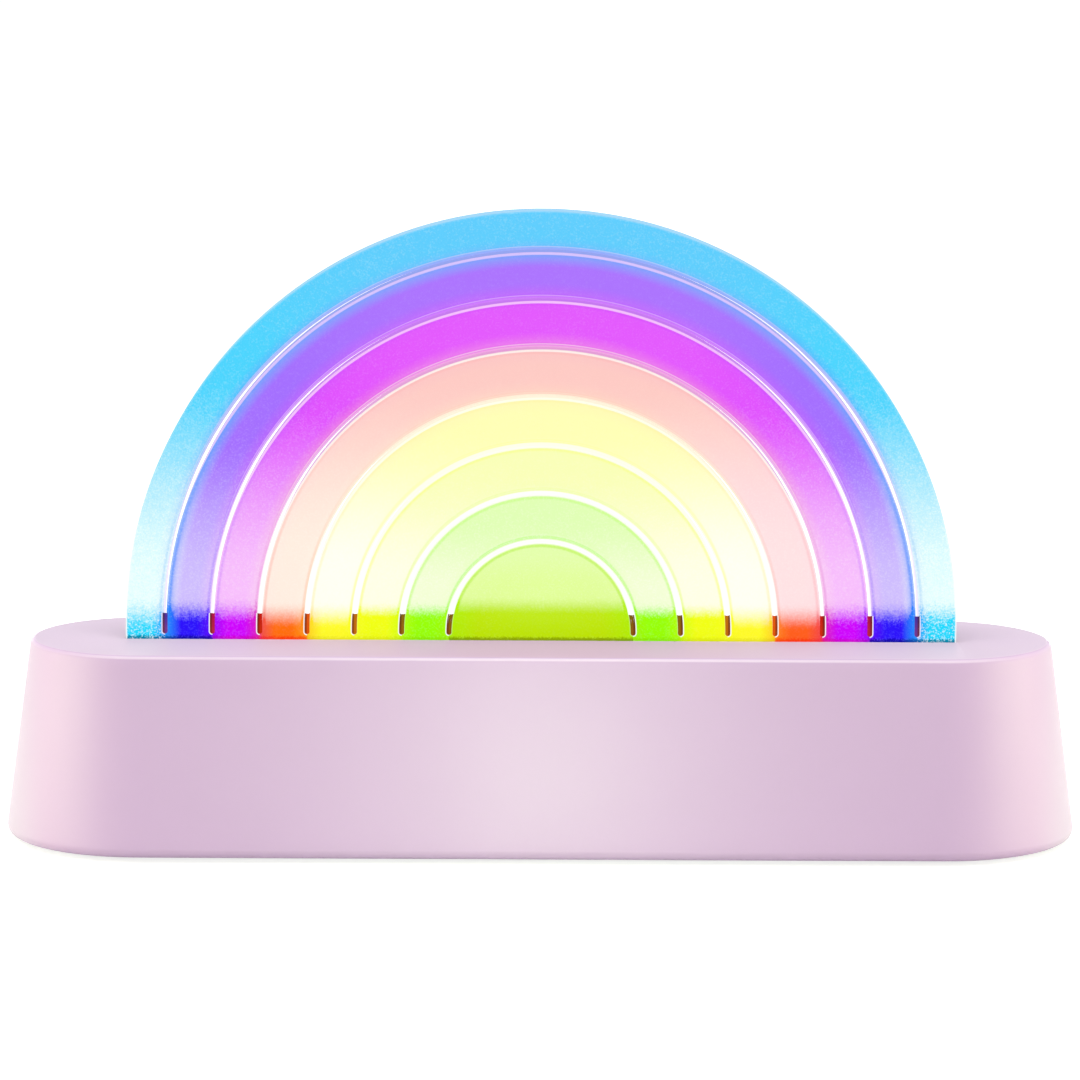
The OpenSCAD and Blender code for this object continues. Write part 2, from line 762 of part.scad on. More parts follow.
// The plug that fits that socket, with a blind hole for each pin
module lead_plug(pins) {
    w = pin_pitch * (pins - 1) + 3.9 - 1.4;
    d = connector_d - 1.4;
    low = board_top + 1.1;
    hole = 0.7;
    translate([0, 0, low]) difference() {
        translate([-w / 2, -d / 2, 0]) cube([w, d, plug_top - low]);
        for (i = [0 : pins - 1])
            translate([(i - (pins - 1) / 2) * pin_pitch - hole / 2, -hole / 2, -cut])
                cube([hole, hole, connector_h - 1.4 + cut]);
    }
}

module led_connector() {
    color("ivory") translate([led_connector_spot[0], led_connector_spot[1], board_top])
        rotate(90) pin_header(3);
}

module battery_connector() {
    color("ivory") translate([battery_connector_spot[0], battery_connector_spot[1], board_top]) pin_header(2);
}

module led_plug() {
    color("white") translate([led_connector_spot[0], led_connector_spot[1], 0]) rotate(90) lead_plug(3);
}

module battery_plug() {
    color("white") translate([battery_connector_spot[0], battery_connector_spot[1], 0]) lead_plug(2);
}

module microphone() {
    pin = 0.5;
    color("silver") {
        translate([mic_x, 0, mic_z]) rear_cylinder(mic_r, mic_front - mic_l, mic_front);
        for (side = [-1, 1])
            translate([mic_x + side * 1.3 - pin / 2, mic_front - mic_l - pin, board_top])
                cube([pin, pin * 2, mic_z - board_top]);
    }
}

module microphone_felt() {
    color("#333333") translate([mic_x, 0, mic_z]) rear_cylinder(mic_r * 0.8, mic_front, mic_front + 0.3);
}

module usb_socket() {
    color("silver") translate([port_x, 0, port_z]) difference() {
        rear_stadium(socket_w, socket_h, socket_mouth - socket_l, socket_mouth);
        rear_stadium(socket_w - 2 * socket_wall, socket_h - 2 * socket_wall,
            socket_mouth - socket_l + socket_wall, socket_mouth + 1);
    }
}

module usb_tongue() {
    gap = 0.05;
    back = socket_mouth - socket_l + socket_wall;
    color("#222222") translate([port_x, 0, port_z]) {
        rear_stadium(socket_w - 2 * socket_wall - 2 * gap, socket_h - 2 * socket_wall - 2 * gap, back, back + 1.2);
        translate([-3.35, back + 1, -0.35]) cube([6.7, socket_l - 2.2, 0.7]);
    }
}

module charge_led() {
    color("#f2f2d0") translate([pipe_x, board_rear - 0.8, board_top]) chip_part(1.6, 1.2, 1.3);
}

// The clear rod that carries the charging light through the wall
module charge_light_pipe() {
    color("white", 0.7) translate([pipe_x, 0, pipe_z]) difference() {
        union() {
            rear_cylinder(pipe_flange_r, board_rear + 0.5, pipe_front);
            rear_cylinder(pipe_r, pipe_front - cut, base_depth / 2);
        }
        beyond_wall(pipe_z, 0.1);
    }
}

// All that lies further out than the rear face plus a distance, for a piece centred at a height
module beyond_wall(z, proud) {
    translate([0, outer_half(z), 0]) rotate([lean, 0, 0])
        translate([-10, proud, -20]) cube([20, 20, 40]);
}

module switch_bodies() {
    color("#2b2b2b") for (x = button_xs) translate([x, 0, 0]) difference() {
        translate([-switch_w / 2, switch_front - switch_d, board_top]) cube([switch_w, switch_d, switch_h]);
        translate([0, 0, button_z])
            rear_cylinder(plunger_r + button_gap, plunger_root - button_travel - 0.3, switch_front + cut);
    }
}

module button(x) {
    translate([x, 0, button_z]) difference() {
        union() {
            rear_cylinder(flange_r, flange_back, flange_front);
            rear_cylinder(button_r, flange_front - cut, base_depth / 2 + 1);
        }
        beyond_wall(button_z, button_proud);
    }
}

module plunger(x) {
    translate([x, 0, button_z]) rear_cylinder(plunger_r, plunger_root, plunger_tip);
}

module power_button() { color("#c9a9cf") button(button_xs[1]); }
module mode_button() { color("#c9a9cf") button(button_xs[2]); }
module brightness_button() { color("#c9a9cf") button(button_xs[0]); }
module power_plunger() { color("#555555") plunger(button_xs[1]); }
module mode_plunger() { color("#555555") plunger(button_xs[2]); }
module brightness_plunger() { color("#555555") plunger(button_xs[0]); }

// A place at the middle of the cell, with X along it
module at_cell() {
    translate([0, tray_y, cell_z]) rotate([0, 90, 0]) children();
}

module battery_cell() {
    nub = 0.9;
    color("#5b8fd6") at_cell() rotate_extrude() polygon([
        [0, -cell_l / 2], [cell_d / 2 - 0.8, -cell_l / 2], [cell_d / 2, -cell_l / 2 + 0.8],
        [cell_d / 2, cell_l / 2 - nub - 0.8], [cell_d / 2 - 0.8, cell_l / 2 - nub],
        [2.9, cell_l / 2 - nub], [2.9, cell_l / 2], [0, cell_l / 2]
    ]);
}

module cell_end_ring() {
    t = 0.3;
    color("white") at_cell() translate([0, 0, cell_l / 2 - 0.9]) difference() {
        cylinder(r = cell_d / 2 - 1, h = t);
        translate([0, 0, -cut]) cylinder(r = 3.4, h = t + 2 * cut);
    }
}

module battery_tray() {
    color("#303030") difference() {
        union() {
            translate([-tray_half, tray_y - tray_side, cover_top])
                cube([2 * tray_half, 2 * tray_side, tray_height]);
            for (spot = tray_spots) {
                inner = spot[0] > 0 ? tray_half - 1 : spot[0];
                translate([inner, spot[1] - tray_ear_r, tray_ear_bottom])
                    cube([abs(spot[0]) - tray_half + 1, 2 * tray_ear_r, tray_ear_t]);
                translate([spot[0], spot[1], tray_ear_bottom]) cylinder(r = tray_ear_r, h = tray_ear_t);
            }
        }
        translate([-contact_x, tray_y - tray_side + tray_wall, cover_top + tray_floor])
            cube([2 * contact_x, 2 * (tray_side - tray_wall), tray_height]);
        // finger cut-outs in the two side walls
        translate([-12, tray_y - tray_side - cut, cover_top + tray_height - 5])
            cube([24, 2 * tray_side + 2 * cut, 5 + cut]);
        for (side = [-1, 1])
            translate([side * contact_x - tray_end - cut, tray_y - 1.7, tail_z - 0.4])
                cube([2 * (tray_end + cut), 3.4, contact_t + 0.4]);
        for (spot = tray_spots)
            translate([spot[0], spot[1], tray_ear_bottom - cut])
                cylinder(r = screw_r + hole_gap, h = tray_ear_t + 2 * cut);
    }
}

// A bent strip at each end of the tray: a back plate, a springy tongue and a solder tail
module battery_contacts() {
    reach = contact_x - contact_t - cell_l / 2;
    color("#d8c070") for (side = [0, 1]) translate([0, tray_y, 0]) rotate(180 * side) {
        translate([contact_x - contact_t, -4, tail_z - 1]) cube([contact_t, 8, cell_z + 5 - tail_z]);
        translate([contact_x - contact_t - 0.1, -1.5, tail_z - 0.2]) cube([tray_end + 2.6, 3, contact_t]);
        translate([contact_x - contact_t, contact_w / 2, cell_z]) rotate([90, 0, 0]) linear_extrude(contact_w)
            polygon([
                [0.1, 3.6], [-reach, 0.6], [-reach, -0.6], [-reach + 1.6, -3],
                [-reach + 2, -2.8], [-reach + contact_t, -0.4], [-reach + contact_t, 0.3], [0.1, 3.1]
            ]);
    }
}

module tray_screws() {
    color("silver") for (spot = tray_spots)
        translate([spot[0], spot[1], tray_ear_bottom + tray_ear_t]) mirror([0, 0, 1])
            screw(screw_r, board_screw_l, screw_r + 1, screw_head_h);
}

// Two wires from the tray's solder tails, along the tray and up into their plug
module battery_lead() {
    tail_x = contact_x - contact_t - 0.1 + tray_end + 2.6;
    run_y = board_front - lead_gap / 2;
    plug = battery_connector_spot;
    for (side = [-1, 1]) {
        end = [plug[0] + side * pin_pitch / 2, plug[1]];
        color(side > 0 ? "red" : "black")
            wire([
                [side * tail_x, tray_y, tail_z],
                [side * (tail_x + 2), tray_y, tail_z],
                [side * (tail_x + 4.5), tray_y + 3.5, tail_z + 1],
                [side * (tail_x + 3.5), run_y - 3, tail_z + 4],
                [side * (tail_x - 4), run_y, tail_z + 6],
                [end[0] + side * 14, run_y, tail_z + 7],
                [end[0] + side * 4, run_y + 1, plug_top + 1.5],
                [end[0], end[1] - 0.6, plug_top + 3.5],
                [end[0], end[1], plug_top + 2],
                [end[0], end[1], plug_top]
            ]);
    }
}

base_shell();
bottom_cover();
cover_screws();
rubber_feet();
rainbow_panel();
light_stops();
panel_holder();
holder_screws();
led_board();
led_packages();
led_lenses();
led_capacitors();
led_board_screws();
led_lead();
main_board();
main_board_screws();
controller_chip();
charger_chip();
power_inductor();
board_capacitors();
board_resistors();
led_connector();
battery_connector();
led_plug();
battery_plug();
microphone();
microphone_felt();
usb_socket();
usb_tongue();
charge_led();
charge_light_pipe();
switch_bodies();
power_button();
mode_button();
brightness_button();
power_plunger();
mode_plunger();
brightness_plunger();
battery_cell();
cell_end_ring();
battery_tray();
battery_contacts();
tray_screws();
battery_lead();
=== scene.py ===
# %% [markdown]
# # Rainbow lamp
# A clear sheet in the shape of a rainbow stands in a long lilac base. Lights in the base shine into the
# sheet's foot, so that each band glows in its own colour. The exact model of every part comes in as a
# fixed frame, and this lesson dresses it: new meshes where the eye rests, and a finish for every part.

# %% Load the frame
import json
import math
from collections import namedtuple
from types import SimpleNamespace

import bmesh
import bpy
from mathutils import Euler, Matrix, Vector


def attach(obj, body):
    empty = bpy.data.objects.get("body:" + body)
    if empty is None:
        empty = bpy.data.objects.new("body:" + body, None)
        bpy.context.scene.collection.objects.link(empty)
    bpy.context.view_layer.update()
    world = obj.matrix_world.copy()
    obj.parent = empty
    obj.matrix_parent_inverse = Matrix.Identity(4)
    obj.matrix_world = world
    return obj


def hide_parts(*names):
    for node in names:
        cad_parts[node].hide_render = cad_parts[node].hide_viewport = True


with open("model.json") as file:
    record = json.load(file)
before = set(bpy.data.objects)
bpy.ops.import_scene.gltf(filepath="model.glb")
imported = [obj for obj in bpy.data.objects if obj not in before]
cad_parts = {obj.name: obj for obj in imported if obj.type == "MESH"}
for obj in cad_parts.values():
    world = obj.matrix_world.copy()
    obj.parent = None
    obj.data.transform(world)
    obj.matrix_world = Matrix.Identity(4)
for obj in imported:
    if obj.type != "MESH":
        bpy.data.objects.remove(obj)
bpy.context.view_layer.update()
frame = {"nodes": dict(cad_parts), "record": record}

# %% [markdown]
# ## Sizes
# Every place below comes from a few sizes of the lamp, in metres. The origin is under the middle of the
# base, on the table. X runs along the base, Y to the rear and Z up, so the front faces -Y. The slots in
# the sheet follow a rule: each is wider and higher than the one inside it by the same two steps.

# %% Sizes of the lamp
MM = 0.001
BASE_DEPTH = 68.6 * MM
BASE_HEIGHT = 48 * MM
BASE_FOOT = 1.2 * MM
BASE_TOP = BASE_FOOT + BASE_HEIGHT
SIDE_LEAN = 6.5 * MM
WALL = 2.8 * MM
STRAIGHT_HALF = 95.96 * MM
TOP_EDGE_R = 1.4 * MM
RIM_EDGE_R = 2.2 * MM

SHEET_THICKNESS = 8 * MM
SHEET_ROOT = 15 * MM
SHEET_SHOULDER = 6 * MM
SHEET_STEP = 3 * MM
ARCH_HALF = 100.56 * MM
ARCH_CROWN = 104.18 * MM
SLOT_COUNT = 7
SLOT_WIDTH = 0.7 * MM
EDGE_BREAK = 0.08 * MM
SLOT_END = 1.9 * MM
STOP_HEIGHT = 6.4 * MM
STOP_SLOPE = 0.24
slot_halves = [(22.3 + 11.46 * i) * MM for i in range(SLOT_COUNT)]
slot_crowns = [(24.3 + 11.73 * i) * MM for i in range(SLOT_COUNT)]
FOOT_PITCH = slot_halves[1] - slot_halves[0]
CROWN_PITCH = slot_crowns[1] - slot_crowns[0]
print("slots stand", [round(h / MM, 1) for h in slot_halves], "mm from the middle")

# %% [markdown]
# ## Camera
# A long lens far away keeps the base's sides almost parallel. The camera looks down by nine degrees, so
# that the base's top face shows as a thin ellipse, and it turns by a quarter of a degree round its own
# axis. The picture is 1080 pixels wide.

# %% Camera
PICTURE = 1080
FOCAL_PIXELS = 5014
CAMERA_PLACE = Vector((0, -1.2, 0.2622))
CAMERA_PITCH, CAMERA_ROLL, CAMERA_TURN = 8.95, 0.27, 0.017
SENSOR_MM = 36
NEAREST, FARTHEST = 0.05, 60


def make_camera():
    camera = bpy.data.objects.new("camera", bpy.data.cameras.new("camera"))
    bpy.context.scene.collection.objects.link(camera)
    camera.data.sensor_width = SENSOR_MM
    camera.data.lens = FOCAL_PIXELS / PICTURE * SENSOR_MM
    camera.data.clip_start, camera.data.clip_end = NEAREST, FARTHEST
    camera.location = CAMERA_PLACE
    turned = Matrix.Rotation(math.radians(CAMERA_TURN), 3, "Z")
    tipped = Matrix.Rotation(math.radians(90 - CAMERA_PITCH), 3, "X")
    rolled = Matrix.Rotation(math.radians(CAMERA_ROLL), 3, "Z")
    camera.rotation_euler = (turned @ tipped @ rolled).to_euler()
    bpy.context.scene.camera = camera
    return camera


camera = make_camera()
print("lens", round(camera.data.lens, 1), "mm")

# %% [markdown]
# ## Nodes written as arithmetic
# Materials and shapes are both made of nodes. A long chain of Math nodes is hard to read, so a small
# class wraps a node's output and lets Python's own operators add the Math nodes.

# %% Arithmetic on sockets
def maths(operation, turned=False):
    """A method that adds a Math node to a wire's board. Turned, it takes the wire last."""
    def add(wire, *others):
        return wire.board.math(operation, *((*others, wire) if turned else (wire, *others)))
    return add


class Wire:
    """The output of a node, which can be used in arithmetic."""

    def __init__(self, board, node, output):
        self.board, self.node, self.socket = board, node, node.outputs[output]

    def out(self, output):
        return Wire(self.board, self.node, output)

    __add__ = __radd__ = maths("ADD")
    __sub__, __rsub__ = maths("SUBTRACT"), maths("SUBTRACT", turned=True)
    __mul__ = __rmul__ = maths("MULTIPLY")
    __truediv__, __rtruediv__ = maths("DIVIDE"), maths("DIVIDE", turned=True)
    __lt__, __gt__, __abs__ = maths("LESS_THAN"), maths("GREATER_THAN"), maths("ABSOLUTE")
    most, least, whole = maths("MAXIMUM"), maths("MINIMUM"), maths("FLOOR")
    root, sine, cosine = maths("SQRT"), maths("SINE"), maths("COSINE")


print("a wire knows + - * / < > and abs, and:", [name for name in vars(Wire) if not name.startswith("_")])

# %% [markdown]
# Everything else comes from one method of the node tree, which takes a node's type, its settings and
# what goes into its sockets. A few shorter methods stand for the nodes that are used most.

# %% Board for a node tree
class Board:
    """A node tree that is being wired."""

    def __init__(self, tree):
        self.tree = tree

    def add(self, kind, inputs=None, output=0, **settings):
        node = self.tree.nodes.new(kind)
        for name, value in settings.items():
            setattr(node, name, value)
        for key, value in (inputs or {}).items():
            if isinstance(value, (Wire, list)):
                for wire in value if isinstance(value, list) else [value]:
                    self.tree.links.new(wire.socket, node.inputs[key])
            else:
                node.inputs[key].default_value = value
        return Wire(self, node, output)

    def math(self, operation, *values):
        return self.add("ShaderNodeMath", dict(enumerate(values)), operation=operation)

    def rise(self, value, low, high):
        """0 below low, 1 above high, and a smooth step between; low may be the greater one."""
        return self.add("ShaderNodeMapRange", {0: value, 1: low, 2: high}, interpolation_type="SMOOTHSTEP")

    def blend(self, share, first, second, how="MIX"):
        """A colour between two, by a share from 0 to 1."""
        return self.add("ShaderNodeMix", {0: share, 6: first, 7: second}, output=2, data_type="RGBA",
                        blend_type=how)

    def ramp(self, place, stops, jumps=False):
        """A colour ramp, which runs smoothly from stop to stop or jumps at each."""
        wire = self.add("ShaderNodeValToRGB", {0: place})
        ramp = wire.node.color_ramp
        ramp.interpolation = "CONSTANT" if jumps else "LINEAR"
        while len(ramp.elements) < len(stops):
            ramp.elements.new(0.5)
        for element, (place, colour) in zip(ramp.elements, stops):
            element.position, element.color = place, (*colour[:3], 1)
        return wire

    def place(self):
        """X, Y and Z of a point of the piece, in metres."""
        parts = self.add("ShaderNodeSeparateXYZ", {0: self.add("ShaderNodeTexCoord", output="Object")})
        return parts, parts.out(1), parts.out(2)

    def noise(self, scale, detail=2.0, stretch=None):
        """Smooth noise from 0 to 1, with scale waves to a metre."""
        spot = self.add("ShaderNodeTexCoord", output="Object")
        if stretch:
            spot = self.add("ShaderNodeMapping", {0: spot, 3: stretch})
        return self.add("ShaderNodeTexNoise", {0: spot, 2: scale, 3: detail})

    def bump(self, height, strength, distance=0.1 * MM):
        return self.add("ShaderNodeBump", {"Strength": strength, "Distance": distance, "Height": height})

    def end(self, kind, wire):
        """The tree's last node, which takes what was made."""
        self.tree.links.new(wire.socket, self.tree.nodes.new(kind).inputs[0])


print("shorter methods:", [name for name in vars(Board) if not name.startswith("_")])

# %% [markdown]
# Colours are written as a screen shows them, and become the linear values that nodes work in. Every
# finish is fed into one surface shader, by the names of its sockets.

# %% Colours and finishes
WHITE, BLACK = (1, 1, 1, 1), (0, 0, 0, 1)


def tint(red, green, blue):
    """A colour given as a screen shows it, 0 to 255, as the linear values that nodes work in."""
    parts = [c / 255 for c in (red, green, blue)]
    return tuple(c / 12.92 if c <= 0.04045 else ((c + 0.055) / 1.055) ** 2.4 for c in parts) + (1.0,)


def new_finish(name):
    """An empty material, the board for its nodes and its surface shader."""
    material = bpy.data.materials.new(name)
    material.use_nodes = True
    shader = material.node_tree.nodes["Principled BSDF"]
    return material, Board(material.node_tree), shader


def feed(board, shader, **sockets):
    """Sets or links sockets of a surface shader. Base_Color means the socket named Base Color."""
    for name, value in sockets.items():
        socket = shader.inputs[name.replace("_", " ")]
        if isinstance(value, Wire):
            board.tree.links.new(value.socket, socket)
        else:
            socket.default_value = value


print("middle grey is", round(tint(128, 128, 128)[0], 3), "in linear light")

# %% [markdown]
# ## The sheet
# The real sheet is one piece of clear plastic with seven arched slots. Every slot is the same path:
# straight up, half a circle, straight down, with round ends. Only its half width and its crown change,
# by the same step each time. A shape that follows a rule suits Geometry Nodes: one formula places the
# points of all the slots, the outline gets its own, and the area between them is filled and thickened.

# %% Points of the slots and of the outline
ARC_POINTS = 98
CAP_POINTS = 9
SAME_POINT = 0.001 * MM
# the sizes that the slots share with the slips that stand in them
SLOT_RULE = {
    "First slot half": slot_halves[0], "Foot pitch": FOOT_PITCH, "First slot crown": slot_crowns[0],
    "Crown pitch": CROWN_PITCH, "Slot count": SLOT_COUNT, "Slot end": SLOT_END,
    "Thickness": SHEET_THICKNESS, "Top of base": BASE_TOP}


def slot_points(point, sizes):
    """X and Y of the numbered point of a slot's closed outline, and the slot's number."""
    around = 2 * (ARC_POINTS + CAP_POINTS)
    slot = (point / around).whole()
    step = point - slot * around
    half = sizes["First slot half"] + slot * sizes["Foot pitch"]
    crown = sizes["First slot crown"] + slot * sizes["Crown pitch"]
    legs = (crown - half).most(sizes["Slot end"])
    # the numbers are whole, so each part of the outline is found by a limit half a step before its end
    outer_side = step < ARC_POINTS - 0.5
    right_cap = (step < ARC_POINTS + CAP_POINTS - 0.5) * (1 - outer_side)
    inner_side = (step < 2 * ARC_POINTS + CAP_POINTS - 0.5) * (1 - outer_side) * (1 - right_cap)
    left_cap = 1 - outer_side - right_cap - inner_side
    # along the outer side the points run left to right, and back along the inner side
    back = 2 * ARC_POINTS + CAP_POINTS - 1 - step
    along = outer_side * step + inner_side * back
    turn = math.pi * (1 - ((along - 1) / (ARC_POINTS - 3)).most(0).least(1))
    on_leg = (along < 0.5) + (along > ARC_POINTS - 1.5)
    reach = half + sizes["Slot width"] / 2 * (outer_side - inner_side)
    side_x = reach * turn.cosine()
    side_y = (1 - on_leg) * (legs + reach * turn.sine()) + on_leg * sizes["Slot end"]
    # each round end sweeps from its right to its left, below its centre
    cap_step = step - (ARC_POINTS - 1) - left_cap * (ARC_POINTS + CAP_POINTS)
    sweep = cap_step * (-math.pi / (CAP_POINTS + 1))
    cap_x = (right_cap - left_cap) * half + sizes["Slot width"] / 2 * sweep.cosine()
    cap_y = sizes["Slot end"] + sizes["Slot width"] / 2 * sweep.sine()
    on_side = outer_side + inner_side
    x = on_side * side_x + (1 - on_side) * cap_x
    y = on_side * side_y + (1 - on_side) * cap_y
    return x, y, slot


def outline_points(point, sizes):
    """X and Y of the numbered point of the sheet's outline: the arch, then the six corners of its root."""
    corner = point - (ARC_POINTS - 1)
    on_root = corner > 0.5
    turn = math.pi * (1 - point / (ARC_POINTS - 1))
    half = sizes["Arch half"]
    arch_x = half * turn.cosine()
    arch_y = sizes["Arch crown"] - half + half * turn.sine()
    side = 1 - 2 * (corner > 3.5)
    wide = (corner > 1.5) * (corner < 5.5)
    deep = (corner > 2.5) * (corner < 4.5)
    root_x = side * (half + wide * sizes["Shoulder"])
    root_y = 0 - sizes["Step"] - deep * (sizes["Root"] - sizes["Step"])
    return (1 - on_root) * arch_x + on_root * root_x, (1 - on_root) * arch_y + on_root * root_y


print("points in the sheet's outlines:", SLOT_COUNT * 2 * (ARC_POINTS + CAP_POINTS) + ARC_POINTS + 6)

# %% [markdown]
# The points become closed curves, the area between the curves is filled, and it gets the thickness of
# the sheet. The sizes are inputs of the tree, so another sheet needs no new tree. At its end a tree
# turns copies into real geometry, because an export drops copies, and sets the finish.

# %% Node tree that draws the sheet
def placed_points(board, count, x, y):
    """Numbered points, each at its own place."""
    points = board.add("GeometryNodePoints", {0: count})
    place = board.add("ShaderNodeCombineXYZ", {0: x, 1: y})
    return board.add("GeometryNodeSetPosition", {"Geometry": points, "Position": place})


def closed_curve(board, count, x, y, group=0):
    """A closed curve through numbered points, or several where the group changes."""
    curves = board.add("GeometryNodePointsToCurves", {0: placed_points(board, count, x, y), 1: group})
    return board.add("GeometryNodeSetSplineCyclic", {"Geometry": curves, "Cyclic": True})


def new_shape_tree(name, sizes):
    """An empty Geometry Nodes tree with named sizes as its inputs, its board and a wire for each size."""
    tree = bpy.data.node_groups.new(name, "GeometryNodeTree")
    tree.interface.new_socket("Geometry", in_out="OUTPUT", socket_type="NodeSocketGeometry")
    for title, value in sizes.items():
        kind = "NodeSocketInt" if isinstance(value, int) else "NodeSocketFloat"
        tree.interface.new_socket(title, in_out="INPUT", socket_type=kind).default_value = value
    tree.interface.new_socket("Finish", in_out="INPUT", socket_type="NodeSocketMaterial")
    board = Board(tree)
    start = board.add("NodeGroupInput")
    return board, {title: start.out(title) for title in (*sizes, "Finish")}


def end_shape_tree(board, shape, finish):
    """The tree, with its last nodes: real geometry in place of instances, and its finish."""
    shape = board.add("GeometryNodeRealizeInstances", {0: shape})
    shape = board.add("GeometryNodeSetMaterial", {"Geometry": shape, "Material": finish})
    board.end("NodeGroupOutput", shape)
    return board.tree


def joined(board, *shapes):
    return board.add("GeometryNodeJoinGeometry", {0: list(shapes)})


def thick(board, curves, thickness):
    """Fills closed curves, and gives the area a thickness."""
    area = board.add("GeometryNodeFillCurve", {0: curves}, mode="NGONS")
    front = board.add("GeometryNodeExtrudeMesh", {
        "Mesh": area, "Offset Scale": thickness, "Individual": False}, mode="FACES")
    rear = board.add("GeometryNodeFlipFaces", {0: area})
    return board.add("GeometryNodeMergeByDistance", {
        "Geometry": joined(board, front, rear), "Distance": SAME_POINT})


def stood_up(board, shape, rear, height):
    """Stands up what was drawn lying down: its far side points up, and its thickness to the front."""
    place = board.add("ShaderNodeCombineXYZ", {1: rear, 2: height})
    return board.add("GeometryNodeTransform", {
        "Geometry": shape, "Translation": place, "Rotation": Euler((math.pi / 2, 0, 0))})


def sheet_tree():
    board, size = new_shape_tree("slotted sheet", {
        **SLOT_RULE, "Slot width": SLOT_WIDTH, "Arch half": ARCH_HALF, "Arch crown": ARCH_CROWN,
        "Root": SHEET_ROOT, "Step": SHEET_STEP, "Shoulder": SHEET_SHOULDER})
    point = board.add("GeometryNodeInputIndex")
    x, y, slot = slot_points(point, size)
    slots = closed_curve(board, size["Slot count"] * (2 * (ARC_POINTS + CAP_POINTS)), x, y, slot)
    outline = closed_curve(board, ARC_POINTS + 6, *outline_points(point, size))
    sheet = thick(board, joined(board, outline, slots), size["Thickness"])
    upright = stood_up(board, sheet, size["Thickness"] / 2, size["Top of base"])
    return end_shape_tree(board, upright, size["Finish"])


slotted_sheet = sheet_tree()
print("the sheet's tree has", len(slotted_sheet.nodes), "nodes")

# %% [markdown]
# A few small helpers turn a tree or rings of points into a finished piece: a plain mesh with no
# modifiers left, faces that point outwards, tiny bevels on sharp edges, and smooth shading.

# %% Helpers for pieces
def plain_mesh(piece):
    """Turns a piece's modifiers into plain mesh."""
    graph = bpy.context.evaluated_depsgraph_get()
    mesh = bpy.data.meshes.new_from_object(piece.evaluated_get(graph), depsgraph=graph)
    piece.modifiers.clear()
    piece.data = mesh
    return piece


def new_piece(name):
    piece = bpy.data.objects.new(name, bpy.data.meshes.new(name))
    bpy.context.scene.collection.objects.link(piece)
    return piece


def piece_from_tree(name, tree, finish):
    """A plain mesh from a Geometry Nodes tree. Its finish is set by identifier before it is evaluated."""
    piece = new_piece(name)
    modifier = piece.modifiers.new("shape", "NODES")
    modifier.node_group = tree
    for item in tree.interface.items_tree:
        if item.in_out == "INPUT" and item.name == "Finish":
            modifier[item.identifier] = finish
    plain_mesh(piece).data.materials.clear()
    piece.data.materials.append(finish)
    return piece


def outward(piece):
    """Turns every face to point outwards."""
    builder = bmesh.new()
    builder.from_mesh(piece.data)
    bmesh.ops.recalc_face_normals(builder, faces=builder.faces)
    builder.to_mesh(piece.data)
    builder.free()
    return piece


def lofted(name, rings):
    """A solid through rings of points, each joined to the next. The first and the last close its ends."""
    around, last = len(rings[0]), len(rings[0]) * (len(rings) - 1)
    faces = [(row + here, row + there, row + there + around, row + here + around)
             for row in range(0, last, around)
             for here, there in ((step, (step + 1) % around) for step in range(around))]
    faces += [range(around), range(last, last + around)]
    piece = new_piece(name)
    piece.data.from_pydata([point for ring in rings for point in ring], [], faces)
    return outward(piece)


def break_edges(piece, width, segments=1, angle=50):
    """Takes the sharp edges off by a small bevel."""
    bevel = piece.modifiers.new("edges", "BEVEL")
    bevel.width, bevel.segments = width, segments
    bevel.limit_method, bevel.angle_limit = "ANGLE", math.radians(angle)
    return plain_mesh(piece)


def shade(piece, angle=28):
    """Smooth shading, with edges sharper than the angle kept crisp."""
    piece.data.polygons.foreach_set("use_smooth", [True] * len(piece.data.polygons))
    piece.data.set_sharp_from_angle(angle=math.radians(angle))
    piece.data.update()
    return piece


def triangles(piece):
    piece.data.calc_loop_triangles()
    return len(piece.data.loop_triangles)


print("pieces so far:", len(frame["nodes"]), "of the frame")

# %% [markdown]
# ## Colours of the sheet
# The plastic is clear with a fine frost, and light from below makes each band glow: pure in colour at
# the crown, nearly white a little above the base, and deep in the lowest millimetres. A painted image
# would blur when seen from near. Numbers stay sharp, so the finish works out in which band a point
# lies, and this table says how each band looks, from the inside out.

# %% Table of the bands
# crown, pale and foot are a band's colours from the top down. leaks are the shares of its inner and of
# its outer neighbour's light in its borders, turns the heights in millimetres between which it turns
# from pale to pure, and frost how strong its frost looks
Band = namedtuple("Band", "crown pale foot leaks turns frost")
BANDS = {
    "lime": Band((224, 247, 168), (221, 247, 150), (189, 228, 0), (0.0, 0.1), (13, 22), 0.3),
    "green": Band((221, 254, 179), (241, 254, 214), (152, 254, 0), (0.1, 0.05), (12, 30), 0.7),
    "yellow green": Band((247, 254, 183), (254, 254, 230), (240, 254, 18), (0.1, 0.05), (14, 42), 0.5),
    "yellow": Band((254, 250, 181), (255, 254, 243), (254, 250, 40), (0.1, 0.1), (16, 52), 0.4),
    "peach": Band((252, 199, 196), (254, 234, 224), (254, 110, 8), (0.12, 0.04), (20, 66), 0.35),
    "magenta": Band((226, 84, 254), (245, 187, 252), (206, 0, 254), (0.3, 0.04), (13, 60), 0.5),
    "violet": Band((170, 112, 255), (204, 186, 253), (44, 16, 252), (0.4, 0.62), (12, 52), 0.5),
    "sky blue": Band((90, 203, 254), (229, 252, 254), (30, 216, 254), (0.12, 0.0), (11, 66), 1.0),
}
# at the feet the borders mix more than at the crown
FOOT_LEAK = 0.27
# how white the walls of each slot are, from the inside out
WALL_WHITE = (0.95, 0.95, 0.7, 0.4, 0.16, 0.14, 0.14)
print("bands:", ", ".join(BANDS))

